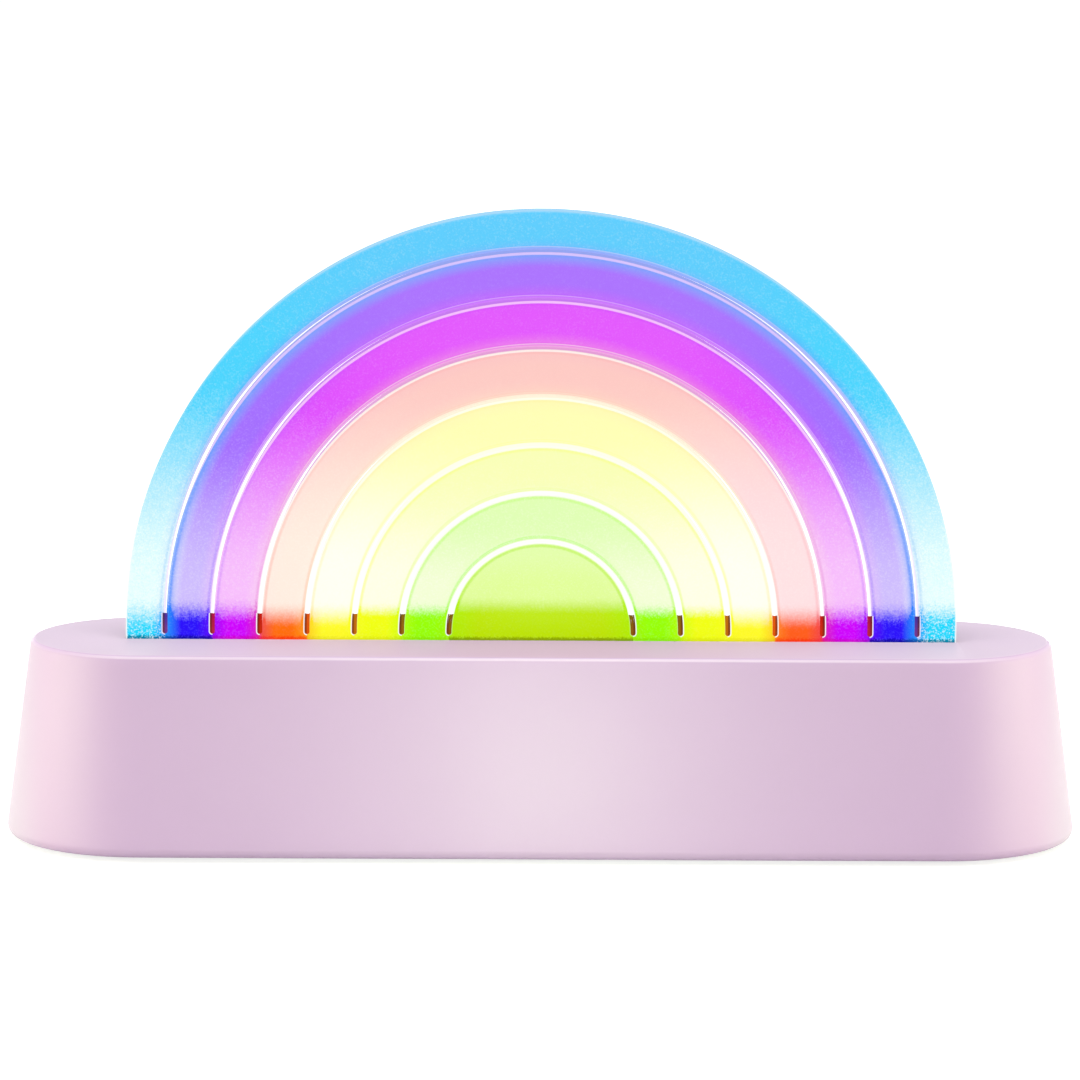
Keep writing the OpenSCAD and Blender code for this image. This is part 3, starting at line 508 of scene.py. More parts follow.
# %% [markdown]
# Colour ramps hold the table for the shader. Their places count the slots from the middle outwards: the
# half disc takes the first two steps and every band one. A ramp that jumps holds what changes from
# one slot or band to the next at once.

# %% Ramps over the bands
BAND_LEFT, BAND_SPAN = -2, 9
# a ramp's colours hold numbers from 0 to 1, so heights are divided by this many millimetres
HEIGHT_SCALE = 100
# where across a band its colours stand: inner border, two places in the middle, outer border
BAND_SHARES = (0.05, 0.33, 0.68, 0.96)


def between(first, second, share):
    """A colour between two, as a screen shows them."""
    return tuple(a + (b - a) * share for a, b in zip(first, second))


def paler(colour, share):
    return between(colour, (255, 255, 255), share)


def band_stops(choice):
    """Stops of a colour ramp over all bands, from the middle of the half disc to the outer edge."""
    bands = list(BANDS.values())
    stops = []
    for number, band in enumerate(bands):
        start, width = (number - 1, 1) if number else (-2, 2)
        if number == SLOT_COUNT:
            width = (ARCH_HALF - slot_halves[-1]) / FOOT_PITCH
        own, leaks = getattr(band, choice), band.leaks
        if choice == "foot":
            leaks = (FOOT_LEAK, max(FOOT_LEAK, leaks[1]))
        inner = between(own, getattr(bands[max(number - 1, 0)], choice), leaks[0])
        outer = between(own, getattr(bands[min(number + 1, SLOT_COUNT)], choice), leaks[1])
        for share, colour in zip(BAND_SHARES, (inner, own, own, outer)):
            stops.append(((start + width * share - BAND_LEFT) / BAND_SPAN, tint(*colour)))
    return stops


def steps(board, place, values, shift=0):
    """A ramp that jumps from value to value: one for each slot, or with a shift of 1 one for each band."""
    stops = [((number + shift) / BAND_SPAN if number else 0, value) for number, value in enumerate(values)]
    return board.ramp(place, stops, jumps=True)


def slot_shades():
    """For each slot the shade of its walls, between its two bands, and that of their shining edges."""
    crowns = [band.crown for band in BANDS.values()]
    walls = [paler(between(inner, outer, 0.5), white)
             for inner, outer, white in zip(crowns, crowns[1:], WALL_WHITE)]
    edges = [paler(crown, 0.95 - 0.06 * slot) for slot, crown in enumerate(crowns[:-1])]
    return [[tint(*shade) for shade in shades] for shades in (walls, edges)]


print("stops in a ramp over the bands:", len(band_stops("crown")))

# %% [markdown]
# The first thing the finish needs is where a point lies: how many slots lie inside it, how high it is,
# and how far it is from the nearest slot. The arcs of the slots have different centres, a little
# higher for each slot. So the count is first guessed, the guess gives a centre, and the centre gives a
# better count. Three rounds are enough.

# %% Where a point of the sheet lies
FINE_FROST, COARSE_FROST, CLOUDS = 2600, 1100, 70


def sheet_spot(board):
    """Where a point lies. Lengths are in millimetres, and slots are counted from the middle outwards."""
    at = SimpleNamespace()
    at.x, at.y, at.z = board.place()
    at.across, at.height = abs(at.x) / MM, (at.z - BASE_TOP) / MM
    # how deep it is in the sheet from its nearer face: 0 on both faces
    at.depth = SHEET_THICKNESS / 2 / MM - abs(at.y) / MM
    pitch, centre = FOOT_PITCH / MM, (slot_crowns[0] - slot_halves[0]) / MM
    centre_step = CROWN_PITCH / MM - pitch
    count = 3.0
    for _ in range(3):
        drop = (at.height - (centre + centre_step * count)).most(0)
        radius = (at.across * at.across + drop * drop).root()
        count = (radius - slot_halves[0] / MM) / pitch
    at.count, at.band = count, (count - BAND_LEFT) / BAND_SPAN
    # 1 at the crown and 0 at the straight feet
    at.steep = drop / radius.most(1)
    at.low = board.rise(at.steep, 0.6, 0.15)
    at.nearest = (count.most(-0.45) + 0.5).whole()
    at.inside = count < at.nearest
    at.outer_slot = at.nearest > 3.5
    # the distance from the nearest slot's middle line, and from its walls and its round lower end
    aside = abs(count.most(-0.45) - at.nearest) * pitch
    at.below = (SLOT_END / MM - at.height).most(0)
    reach = (aside * aside + at.below * at.below).root()
    at.beside = (reach - SLOT_WIDTH / MM / 2).most(0)
    at.on_wall = (reach < SLOT_WIDTH / MM / 2 + 0.04) * (at.depth > 0.1)
    at.by_slip = at.height < STOP_HEIGHT / MM
    # the frost: fine and coarse specks, and soft clouds
    at.fine, at.coarse = board.noise(FINE_FROST, 1) - 0.5, board.noise(COARSE_FROST, 2) - 0.5
    at.cloud = board.noise(CLOUDS, 2) - 0.5
    return at


print("rule: slots stand", round(FOOT_PITCH / MM, 2), "mm apart at the feet")

# %% [markdown]
# ## Light in the bands
# Each band takes its crown, pale and foot colours from the ramps. The foot's deep colour fades upwards in
# specks, because the frost scatters it. Real light doesn't stop at a border: some of each neighbour's
# colour leaks in, blue light runs down beside the violet band, and magenta light reaches the peach
# band on the right.

# %% Light in the bands
PINK_LIGHT, RED_LIGHT = (255, 190, 235), (255, 30, 50)
# painted shade where the feet enter the base, which the feet are multiplied with: in the inner bands,
# in the peach and magenta ones, and in the violet and blue ones
INNER_FOOT_SHADE, RED_FOOT_SHADE, BLUE_FOOT_SHADE = (168, 160, 186), (255, 120, 200), (40, 120, 140)


def band_light(board, at):
    """The colour of the lit bands. It also notes how deep the foot's colour is, and the band's frost."""
    count, height, beside = at.count, at.height, at.beside
    crown, pale, foot = [board.ramp(at.band, band_stops(choice)) for choice in ("crown", "pale", "foot")]
    # halfway down the slopes the three outer bands are purer, the outermost most of all
    purer = 0.22 * (count > 4) - 0.1 * (count > 5) + 0.34 * (count > 6)
    crown = board.blend(board.rise(at.steep, 0.96, 0.66) * purer, crown, foot)
    habits = [(*(height / HEIGHT_SCALE for height in band.turns), band.frost) for band in BANDS.values()]
    habit = board.add("ShaderNodeSeparateColor", {0: steps(board, at.band, habits, 1)})
    pale_from, pale_to, at.frost = habit * HEIGHT_SCALE, habit.out(1) * HEIGHT_SCALE, habit.out(2)
    speck = (at.fine + at.coarse * 0.7) * at.frost
    paling = board.rise(height, pale_to, pale_from) + speck * 0.3 + at.cloud * 0.10
    colour = board.blend(paling.most(0).least(1), crown, pale)

    # the outer bands' feet fade more slowly upwards, and those of the yellow and peach bands most
    slow = ((count > 2) * (count < 4)).most((count > 6) * (at.x < 0))
    outer = count > 4
    at.deep = board.rise(height + speck * (3 + 2 * outer), 9.2 + 0.8 * outer + 1.6 * (count < 0),
                         5.4 - 1.4 * outer + (count < 0) - 2.6 * slow)
    border = board.rise(beside, 0.3, 0.55) * board.rise(beside, 1.3, 0.75)
    border = border * (0.10 + 0.2 * board.rise(height, 50, 5) + 0.2 * (count < 2.6) + 0.2 * (count < 0.6))
    # blue light runs down the violet band's outer border
    blue = at.inside * (at.nearest > 5.5) * (at.nearest < 6.5)
    blue = blue * board.rise(beside, 2.4, 0.2) * board.rise(height, 75, 8)
    colour = board.blend((at.deep + border + blue * 0.6).most(0).least(1), colour, foot)
    # to the right, magenta light reaches into the peach band, and its foot is redder
    pink = (count > 3) * (count < 4) * board.rise(at.x, -10 * MM, 40 * MM) * board.rise(height, 60, 30)
    colour = board.blend(pink * 0.3, colour, board.blend(at.deep, tint(*PINK_LIGHT), tint(*RED_LIGHT)))
    # painted shade where the sheet enters the base: its foot is darker,
    # and redder in the magenta and peach bands
    foot_shade_share = board.rise(height + at.fine, 1.1, 0.3) * (0.8 - 0.6 * (count > 0) * (count < 3))
    foot_shade = board.blend(count > 3, tint(*INNER_FOOT_SHADE), tint(*RED_FOOT_SHADE))
    foot_shade = board.blend(count > 5, foot_shade, tint(*BLUE_FOOT_SHADE))
    return board.blend(foot_shade_share, colour, board.blend(1.0, foot, foot_shade, "MULTIPLY"))


print("heights of the turn from pale to pure, mm:", [band.turns for band in BANDS.values()])

# %% [markdown]
# The slips that stop the light stand in the slots' feet, and the sheet's finish needs their colours too,
# because they show through the clear plastic beside them. One helper gives the colours to both: painted
# light from the bands beside the slips, and painted shadow on their outer sides.

# %% Painted light on the slips
# painted light of the bands on the dark slips, from the inside out; then a painted shadow and a painted glow
SLIP_LIGHT_TINTS = [(122, 92, 0), (132, 100, 0), (190, 110, 0), (226, 84, 0), (198, 15, 0), (178, 0, 72),
               (66, 46, 158)]
SLIP_SHADOW, SLIP_PAINTED_GLOW = (70, 30, 20), (225, 90, 0)
MOTTLE = 1500


def slip_painted_light(board, x, z):
    """Painted light of the bands on the dark slips: brown in the middle, purple outside, a painted glow
    redder below, and painted shadow on their outer sides.
    """
    slot = (abs(x) - slot_halves[0]) / FOOT_PITCH
    mottle = board.noise(MOTTLE, 2) - 0.5
    shade = board.ramp((slot + 0.5) / SLOT_COUNT + mottle * 0.03, [
        ((number + 0.5) / SLOT_COUNT, tint(*shade)) for number, shade in enumerate(SLIP_LIGHT_TINTS)])
    outer = board.rise((slot - (slot + 0.5).whole()) * (FOOT_PITCH / MM), -0.15, 0.25)
    shade = board.blend(outer * 0.7 + mottle * 0.2, shade, tint(*SLIP_SHADOW))
    # a painted glow, redder lower down
    lower = board.rise(z, BASE_TOP + STOP_HEIGHT, BASE_TOP + SLOT_END)
    return board.blend(lower * 0.14, shade, tint(*SLIP_PAINTED_GLOW))


print("shades of the slips:", len(SLIP_LIGHT_TINTS))

# %% [markdown]
# ## Lines of the slots
# Through clear plastic the walls of a slot show beside its opening, so a slot looks like a line that is
# wider than the cut. The walls lie between the colours of the two bands, are paler on the slopes and
# white at the feet. Light leaves the plastic at their front edges, which shine. The lines get thinner
# from the inside out, and so do all the outer ones on the right.

# %% Lines of the slots
SLOPE_WALL = (226, 208, 246)


def slot_lines(board, at, colour):
    """Draws what shows of the slots. It also notes where an edge shines and where a slip shows."""
    height, beside, low, outside = at.height, at.beside, at.low, 1 - at.inside
    slot_place = (at.nearest + 0.5) / BAND_SPAN
    wall, shine = [steps(board, slot_place, shades) for shades in slot_shades()]
    wall = board.blend(board.rise(at.steep, 0.95, 0.55) * 0.5 * at.outer_slot, wall, tint(*SLOPE_WALL))
    dull = 0.2 * (at.nearest > 4.5) + 0.3 * (at.nearest > 5.5)
    wall = board.blend(low * (0.85 - dull), wall, WHITE)
    thin = at.nearest / (SLOT_COUNT - 1)
    thinner = (thin * thin).most(0.85 * at.outer_slot * (at.x > 0))
    veiled = (0.3 + 0.32 * thin) * (1 - low) + (0.3 - 0.28 * thinner) * low
    veil = board.rise(beside, veiled, veiled - 0.2) * outside
    colour = board.blend(at.on_wall.most(veil * board.rise(height, 0.3, 1.0)), colour, wall)

    # the inner edge always shines, the outer one at the feet and beside the slips
    shine = board.blend(low * (1 - dull), shine, WHITE)
    bright = (0.32 + 0.34 * thin) * (1 - low) + (0.5 - 0.5 * thinner) * low
    inner_edge = board.rise(beside, bright, bright - 0.22) * at.inside * (1 - at.on_wall)
    inner_edge = inner_edge * (1 - 0.7 * at.by_slip)
    inner_edge = inner_edge + at.on_wall * (at.y < 0) * board.rise(at.depth, 1.8, 0.4)
    outer_edge = board.rise(beside, 0.6 - 0.58 * thinner, 0.4 - 0.4 * thinner) * outside * low
    outer_edge = outer_edge.most(board.rise(beside, 0.62, 0.4) * outside * at.by_slip)
    # a faint second line runs beside the crowns
    faint = board.rise(abs(beside - 0.7), 0.2, 0.04) * outside * (1 - low) * (0.2 + 0.3 * at.outer_slot)
    at.edge = inner_edge.most(outer_edge).most(faint).least(1)
    colour = board.blend(at.edge * board.rise(height, 0.3, 1.0), colour, shine)

    # the slips show their dark sides through the plastic, as far up as their sloping tops
    slip_top = STOP_HEIGHT / MM - (at.y / MM + SHEET_THICKNESS / 2 / MM) * STOP_SLOPE
    at.beside_slip = board.rise(beside, 0.34, 0.2) * (height < slip_top)
    seen = at.beside_slip * (height > SLOT_END / MM - 0.7)
    return board.blend(seen, colour, slip_painted_light(board, at.x, at.z))


print("slots drawn:", round(SLOT_WIDTH / MM, 2), "mm wide")

# %% [markdown]
# ## The sheet's surface
# Light leaves the plastic at its outer rim too, which is white near the base, and single grains of the
# frost sparkle. The plastic glows with the light that it leads, so the colour goes to the emission, and
# only a small share of it to the base colour, which the room lights. The faces have a thin gloss; the
# sawn walls and the rim are dull.

# %% Finish of the sheet
RIM_END = 2.4
GLOW, GLOW_SHARE = 0.8, 0.78
ACRYLIC_IOR = 1.49


def rim_and_grains(board, at, colour):
    """Draws the bright outer rim and the bright grains. It also notes where the rim's own surface is."""
    drop = (at.height - (ARCH_CROWN - ARCH_HALF) / MM).most(0)
    rim = ARCH_HALF / MM - (at.across * at.across + drop * drop).root()
    at.on_rim = (rim < 0.03) * (at.below < RIM_END)
    bright = 0.12 + 0.8 * board.rise(at.height, 34, 10) + 0.22 * at.on_rim
    colour = board.blend(board.rise(rim, 0.5, 0.1) * bright * (at.below < RIM_END), colour, WHITE)
    grain = 0.06 + 0.5 * board.rise(at.height, 70, 12)
    grain = grain * (1 - at.deep) + at.deep * (0.1 + 0.9 * (at.count > 6))
    grain = at.frost * grain * (1 - at.edge)
    return board.blend((at.fine * grain * 2.4).most(0), colour, WHITE)


def sheet_finish():
    material, board, shader = new_finish("lit clear sheet")
    at = sheet_spot(board)
    colour = rim_and_grains(board, at, slot_lines(board, at, band_light(board, at)))
    # the rim and the walls that face up get a darker base colour: painted shade against the light from above
    shade_where_lit_from_above = 0.07 * at.on_rim.most(at.on_wall * at.outer_slot * (1 - at.low))
    # the walls inside the slots get no light from the room, so the white ones get painted light: they glow a
    # little more
    wall_painted_light = at.on_wall * (1 - at.outer_slot * (1 - at.low)) * (1 - at.beside_slip)
    glow = board.add("ShaderNodeVectorMath", {0: colour, "Scale": 1 + 0.22 * wall_painted_light}, operation="SCALE")
    feed(board, shader, Emission_Color=glow, Emission_Strength=GLOW, Specular_IOR_Level=0, IOR=ACRYLIC_IOR,
         Base_Color=board.blend(GLOW_SHARE + shade_where_lit_from_above, colour, BLACK),
         Alpha=0.9 + 0.1 * at.deep.least(1), Roughness=0.5 + 0.2 * at.fine,
         Coat_Weight=0.07 * (1 - at.on_wall.most(at.on_rim)), Coat_Roughness=0.24,
         Normal=board.bump(at.fine, 0.15))
    return material


lit_sheet = sheet_finish()
print("nodes in the sheet's finish:", len(lit_sheet.node_tree.nodes))

# %% [markdown]
# The tree draws the sheet, and a tiny bevel takes its edges off, as a flame or a scraper does on sawn
# plastic. The base must not see the sheet's glow, which would tint it more than the real light does:
# that leaves through the edges and the frost, and little of it goes down.

# %% Draw the sheet
def build_sheet():
    sheet = piece_from_tree("rainbow_sheet", slotted_sheet, lit_sheet)
    break_edges(sheet, EDGE_BREAK)
    shade(sheet)
    sheet.visible_diffuse = False
    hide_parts("rainbow_panel")
    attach(sheet, "lamp_base")
    return sheet


sheet = build_sheet()
print("sheet:", triangles(sheet), "triangles")

# %% [markdown]
# ## Light stops
# A dark slip fills the lowest part of every slot, so that one band's light can't enter the next. There
# are fourteen, one at each foot, and all stand on the same rule as the slots, so they are nodes too: a
# rounded slip is drawn once for each foot and bent along its slot.

# %% Node tree for the light stops
STOP_POINTS = 10
STOP_SIDE_GAP, STOP_END_GAP, STOP_EDGE = 0.05 * MM, 0.15 * MM, 0.1 * MM


def stops_tree():
    board, size = new_shape_tree("light stops", {
        **SLOT_RULE, "Slip width": SLOT_WIDTH - 2 * STOP_SIDE_GAP, "Slip height": STOP_HEIGHT})
    point = board.add("GeometryNodeInputIndex")
    around = 2 * STOP_POINTS + CAP_POINTS
    slip = (point / around).whole()
    step = point - slip * around
    # the first seven stand at the right feet, the others at the left
    left = slip > size["Slot count"] - 0.5
    slot = slip - size["Slot count"] * left
    half = size["First slot half"] + slot * size["Foot pitch"]
    legs = size["First slot crown"] + slot * size["Crown pitch"] - half
    outer_side = step < STOP_POINTS - 0.5
    cap = (step < STOP_POINTS + CAP_POINTS - 0.5) * (1 - outer_side)
    inner_side = 1 - outer_side - cap
    # down the outer side, round the lower end, up the inner side
    down = outer_side * step + inner_side * (around - 1 - step)
    y = size["Slip height"] - (size["Slip height"] - size["Slot end"]) * down / (STOP_POINTS - 1)
    drop = (y - legs).most(0)
    reach = half + size["Slip width"] / 2 * (outer_side - inner_side)
    x = (reach * reach - drop * drop).root()
    sweep = (step - (STOP_POINTS - 1)) * (-math.pi / (CAP_POINTS + 1))
    x = (1 - cap) * x + cap * (half + size["Slip width"] / 2 * sweep.cosine())
    y = (1 - cap) * y + cap * (size["Slot end"] + size["Slip width"] / 2 * sweep.sine())
    curves = closed_curve(board, size["Slot count"] * (2 * around), (1 - 2 * left) * x, y, slip)
    slips = thick(board, curves, size["Thickness"] - 2 * STOP_END_GAP)
    # each top slopes down to the rear, so that from the front it ends in a sharp line
    spot = board.add("ShaderNodeSeparateXYZ", {0: board.add("GeometryNodeInputPosition")})
    at_top = spot.out(1) > size["Slip height"] - 1 * MM
    lower = (spot.out(2) - size["Thickness"]) * STOP_SLOPE * at_top
    slips = board.add("GeometryNodeSetPosition", {
        "Geometry": slips, "Offset": board.add("ShaderNodeCombineXYZ", {1: lower})})
    upright = stood_up(board, slips, size["Thickness"] / 2 - STOP_END_GAP, size["Top of base"])
    return end_shape_tree(board, upright, size["Finish"])


slips_by_rule = stops_tree()
print("the slips' tree has", len(slips_by_rule.nodes), "nodes")

# %% [markdown]
# The slips are dark, dull plastic. Their glow is painted light, from the lit plastic on both sides that
# shines on them.

# %% Draw the light stops
# how much of the slips' base colour is black, and the strength of their painted glow
STOP_DULL, STOP_PAINTED_GLOW = 0.85, 0.85


def stop_finish():
    """Dark plastic with a painted glow, from the light of the bands beside it."""
    material, board, shader = new_finish("light stop with painted glow")
    x, _, z = board.place()
    colour = slip_painted_light(board, x, z)
    feed(board, shader, Base_Color=board.blend(STOP_DULL, colour, BLACK), Emission_Color=colour,
         Emission_Strength=STOP_PAINTED_GLOW, Roughness=0.5 + 0.2 * board.noise(MOTTLE, 2), Specular_IOR_Level=0.1)
    return material


def build_stops():
    stops = piece_from_tree("light_slips", slips_by_rule, stop_finish())
    break_edges(stops, STOP_EDGE)
    shade(stops)
    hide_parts("light_stops")
    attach(stops, "lamp_base")
    return stops


stops = build_stops()
print("light stops:", triangles(stops), "triangles")

# %% [markdown]
# ## The base
# The base is one thin moulding with round ends, sides that lean in, and a softly rounded edge above
# and below. It is lofted: rings of the same outline, each with its own radius and height, are joined
# one to the next, outside and inside. Then the slot for the sheet and the openings at the rear are
# cut, and every new edge gets a small bevel, as a real mould leaves.

# %% Loft the base
END_STEPS, EDGE_STEPS = 72, 8
LEAN = math.atan2(SIDE_LEAN, BASE_HEIGHT)
RIGHT_ANGLE = math.radians(90)


def outer_half(z):
    """Half the depth of the base at a height."""
    return BASE_DEPTH / 2 - SIDE_LEAN * (z - BASE_FOOT) / BASE_HEIGHT


def ring(half, z):
    """Points round the base's outline at a height: half a circle at each end."""
    points = []
    for side in (1, -1):
        for step in range(END_STEPS + 1):
            turn = math.pi * (step / END_STEPS - 0.5)
            points.append((side * (STRAIGHT_HALF + half * math.cos(turn)), side * half * math.sin(turn), z))
    return points


def rounded(x, z, radius, start, end):
    """Points of a profile round an edge, from one angle to another."""
    turns = [start + (end - start) * step / EDGE_STEPS for step in range(EDGE_STEPS + 1)]
    return [(x + radius * math.cos(turn), z + radius * math.sin(turn)) for turn in turns]


def outer_profile():
    """Half depth and height along the outside, from the rim up and on to the flat of the top face."""
    rim_x = outer_half(BASE_FOOT) - RIM_EDGE_R * (1 + math.sin(LEAN)) / math.cos(LEAN)
    top_x = outer_half(BASE_TOP) - TOP_EDGE_R * (1 - math.sin(LEAN)) / math.cos(LEAN)
    side = [(outer_half(z), z) for z in (BASE_FOOT + RIM_EDGE_R * 2, BASE_TOP - TOP_EDGE_R * 1.6)]
    return [*rounded(rim_x, BASE_FOOT + RIM_EDGE_R, RIM_EDGE_R, -RIGHT_ANGLE, LEAN), *side,
            *rounded(top_x, BASE_TOP - TOP_EDGE_R, TOP_EDGE_R, LEAN, RIGHT_ANGLE),
            (top_x - 0.4 * MM, BASE_TOP)]


def inner_profile():
    """The same along the inside, from the middle of the ceiling down to the rim."""
    ceiling = BASE_TOP - WALL
    inset = WALL / math.cos(LEAN)
    corner = outer_half(ceiling) - inset
    return [(corner - 1 * MM, ceiling), (corner - 0.3 * MM, ceiling - 0.1 * MM),
            (corner, ceiling - 0.8 * MM), (outer_half(BASE_FOOT) - inset, BASE_FOOT)]


base = lofted("base_moulding", [ring(*spot) for spot in inner_profile() + outer_profile()])
print("base lofted:", triangles(base), "triangles")

# %% [markdown]
# The openings are cut with solid tools: one long slot on top for the sheet, and in the rear wall the
# charging opening, three round button holes, a pin hole for the charge light and a tiny hole for the
# microphone.

# %% Cut the base
CORNERS = [(-1, -1), (1, -1), (1, 1), (-1, 1)]
CUT_EDGE = 0.25 * MM
SHEET_OPENING = (100.76 * MM, 4.2 * MM)
REAR_CUT = (26 * MM, 36 * MM)
BUTTON_Z = 11.05 * MM
BUTTON_AT = {"brightness_button": -12 * MM, "power_button": 0.0, "mode_button": 12 * MM}
# for each opening in the rear wall X and Z of its middle, radius, points round it and reach to each
# side: the charging opening, the buttons, the charge light and the microphone
REAR_HOLES = [
    ((-32 * MM, 10.83 * MM), 3.5 * MM, 64, 3 * MM),
    *[((x, BUTTON_Z), 3.8 * MM, 64, 0) for x in BUTTON_AT.values()],
    ((-21.5 * MM, 10.3 * MM), 1.25 * MM, 32, 0),
    ((28 * MM, 12.3 * MM), 0.75 * MM, 24, 0)]


def round_outline(centre, radius, steps, reach):
    """A circle, or a stadium that reaches to both sides."""
    points = []
    for step in range(steps):
        turn = 2 * math.pi * (step + 0.5) / steps - RIGHT_ANGLE
        side = reach if step < steps / 2 else -reach
        points.append((centre[0] + side + radius * math.cos(turn), centre[1] + radius * math.sin(turn)))
    return points


def cut(piece, tools):
    """Takes each tool's solid away from a piece."""
    for tool in tools:
        change = piece.modifiers.new("cut", "BOOLEAN")
        change.object, change.operation, change.solver = tool, "DIFFERENCE", "EXACT"
        plain_mesh(piece)
        bpy.data.objects.remove(tool)


def base_openings():
    """One tool at a time: the slot for the sheet from above, then the holes through the rear wall."""
    slot = [(x * SHEET_OPENING[0], y * SHEET_OPENING[1]) for x, y in CORNERS]
    yield lofted("tool", [[(x, y, z) for x, y in slot] for z in (BASE_TOP - 2 * WALL, BASE_TOP + WALL)])
    for hole in REAR_HOLES:
        yield lofted("tool", [[(x, y, z) for x, z in round_outline(*hole)] for y in REAR_CUT])


cut(base, base_openings())
break_edges(base, CUT_EDGE, segments=2, angle=40)
shade(base, 32)
print("base cut:", triangles(base), "triangles")

# %% [markdown]
# ## Finish of the base
# The moulding is satin plastic in a pale lilac pink. A mould is spark-eroded, so the surface has a very
# fine even grain, and the colour drifts a little. The sides are smoother than the top face, and the
# edge between them is smoothest, with a pale painted highlight on it. The top face has painted shade,
# pinker in the middle, and painted light towards its sides, and painted light makes the round ends paler.

# %% Moulded plastics
# waves to a metre, in the drift of the colour and in the smears of the gloss
DRIFT, SMEARS = 14, 60
# where the rounded edge ends and the top face begins
TOP_FACE = BASE_TOP - 0.06 * MM
# painted shade and light on the top face, from its middle to its ends, painted light on the round ends, and
# the painted highlight on the top edge
TOP_SHADED_MIDDLE, TOP_LIT_SIDE, TOP_SHADED_END = (218, 185, 213), (226, 207, 227), (217, 197, 219)
SHELL_END_LIGHT, SHELL_EDGE_HIGHLIGHT = (205, 184, 215), (255, 246, 250)


def moulded(name, colour, deeper, roughness=0.42, grain=1500, depth=0.05, gloss=0.4, change=None):
    """Satin moulded plastic: a fine grain in its surface, and a colour that drifts a little."""
    material, board, shader = new_finish(name)
    fleck, smear = board.noise(grain, 2), board.noise(SMEARS, 4, (1, 1, 3))
    drift = board.rise(board.noise(DRIFT, 3), 0.3, 0.7) * 0.5 + (fleck - 0.5) * 0.25
    colour = board.blend(drift, tint(*colour), tint(*deeper))
    if change:
        colour = change(board, shader, colour, fleck)
    feed(board, shader, Base_Color=colour, Roughness=roughness + (smear - 0.5) * 0.12 + (fleck - 0.5) * 0.06,
         Normal=board.bump(fleck, depth, 0.2 * MM), Specular_IOR_Level=gloss)
    return material


def shell_colours(board, shader, colour, fleck):
    """What is different on the base: painted light at its ends, painted light and shade on its top face, and
    a painted highlight and more gloss on the edge between top face and sides.
    """
    x, _, z = board.place()
    along = abs(x)
    # the rounded top edge is glossier, and a pale painted highlight lies on it, fading out round the ends
    edge = board.rise(z, TOP_FACE - 0.85 * MM, TOP_FACE - 0.55 * MM)
    edge = edge * board.rise(z, TOP_FACE, TOP_FACE - 0.25 * MM)
    edge = edge * (1 - 0.8 * board.rise(along, 98 * MM, 120 * MM))
    # painted light makes the round ends paler
    colour = board.blend(board.rise(along, 117 * MM, 129 * MM), colour, tint(*SHELL_END_LIGHT))
    # the top face's own colours are painted shade in the middle and painted light towards the sides, a little
    # less at the ends
    top = board.blend(board.rise(along, 10 * MM, 95 * MM), tint(*TOP_SHADED_MIDDLE), tint(*TOP_LIT_SIDE))
    top = board.blend(board.rise(along, 96 * MM, 105 * MM), top, tint(*TOP_SHADED_END))
    colour = board.blend((z > TOP_FACE) * (1 - (fleck - 0.5) * 0.25), colour, top)
    feed(board, shader, Coat_Weight=(z < TOP_FACE) * (0.4 + 0.4 * edge), Coat_Roughness=0.42)
    # the painted highlight on the top edge
    return board.blend(edge * 0.3, colour, tint(*SHELL_EDGE_HIGHLIGHT))


shell_finish = moulded("lilac plastic", (204, 170, 212), (199, 165, 207), 0.55, gloss=0.25,
                       change=shell_colours)
base.data.materials.append(shell_finish)
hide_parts("base_shell")
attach(base, "lamp_base")
print("base:", shell_finish.name)

# %% [markdown]
# ## Finishes for the parts inside
# The parts inside keep their exact shapes, and each gets the finish of its real material: moulded
# plastic with its grain, rolled and plated metal with fine lines, the lacquer of the boards, the soft
# sleeve of the wires.

# %% Metal, lacquer and clear plastic
# waves or tracks to a metre
METAL_LINES, METAL_SPOTS, TRACKS, TRACK_FIELDS, LACQUER_CLOUDS, LENS_CLOUDS = 260, 420, 190, 55, 900, 1800


def darker(colour, share):
    return tint(*[part * share for part in colour])


def metal(name, colour, roughness=0.28):
    """Rolled or turned metal with fine lines in one direction and a few dull spots."""
    material, board, shader = new_finish(name)
    line, spot = board.noise(METAL_LINES, 3, (4, 90, 4)), board.noise(METAL_SPOTS, 2)
    feed(board, shader, Base_Color=board.blend(spot * 0.35, tint(*colour), darker(colour, 0.72)),
         Roughness=roughness + (line - 0.5) * 0.25 + (spot - 0.5) * 0.1, Metallic=1.0,
         Normal=board.bump(line, 0.08))
    return material


def lacquered(name, lacquer, track):
    """A circuit board: thin tracks show through the lacquer, which thins over them."""
    material, board, shader = new_finish(name)
    spot = board.add("ShaderNodeTexCoord", output="Object")
    cells = board.add("ShaderNodeTexBrick", {
        0: spot, "Scale": TRACKS, "Mortar Size": 0.06, "Mortar Smooth": 0.3, "Bias": -0.6}, output=1)
    tracks = cells * board.rise(board.noise(TRACK_FIELDS, 1), 0.46, 0.54)
    cloud = board.noise(LACQUER_CLOUDS, 2)
    feed(board, shader, Roughness=0.3 + cloud * 0.15, Coat_Weight=0.3, Normal=board.bump(tracks, 0.25),
         Base_Color=board.blend(tracks * 0.75 + cloud * 0.12, tint(*lacquer), tint(*track)))
    return material


def clear(name, colour, glow):
    """Clear lens plastic with a little cloudiness."""
    material, board, shader = new_finish(name)
    cloud = board.noise(LENS_CLOUDS, 2)
    feed(board, shader, Base_Color=board.blend(cloud * 0.5, tint(*colour), darker(colour, 0.85)),
         Roughness=0.15 + cloud * 0.12, Alpha=0.7, IOR=ACRYLIC_IOR, Emission_Strength=glow,
         Emission_Color=board.blend(cloud * 0.3, tint(*colour), WHITE))
    return material


print("spots in metal:", METAL_SPOTS, "to a metre")

# %% [markdown]
# The frame's record names a material for every part, and this table gives each name its finish: first
# the colours as a screen shows them, then how rough it is, how fine its grain is and how deep.

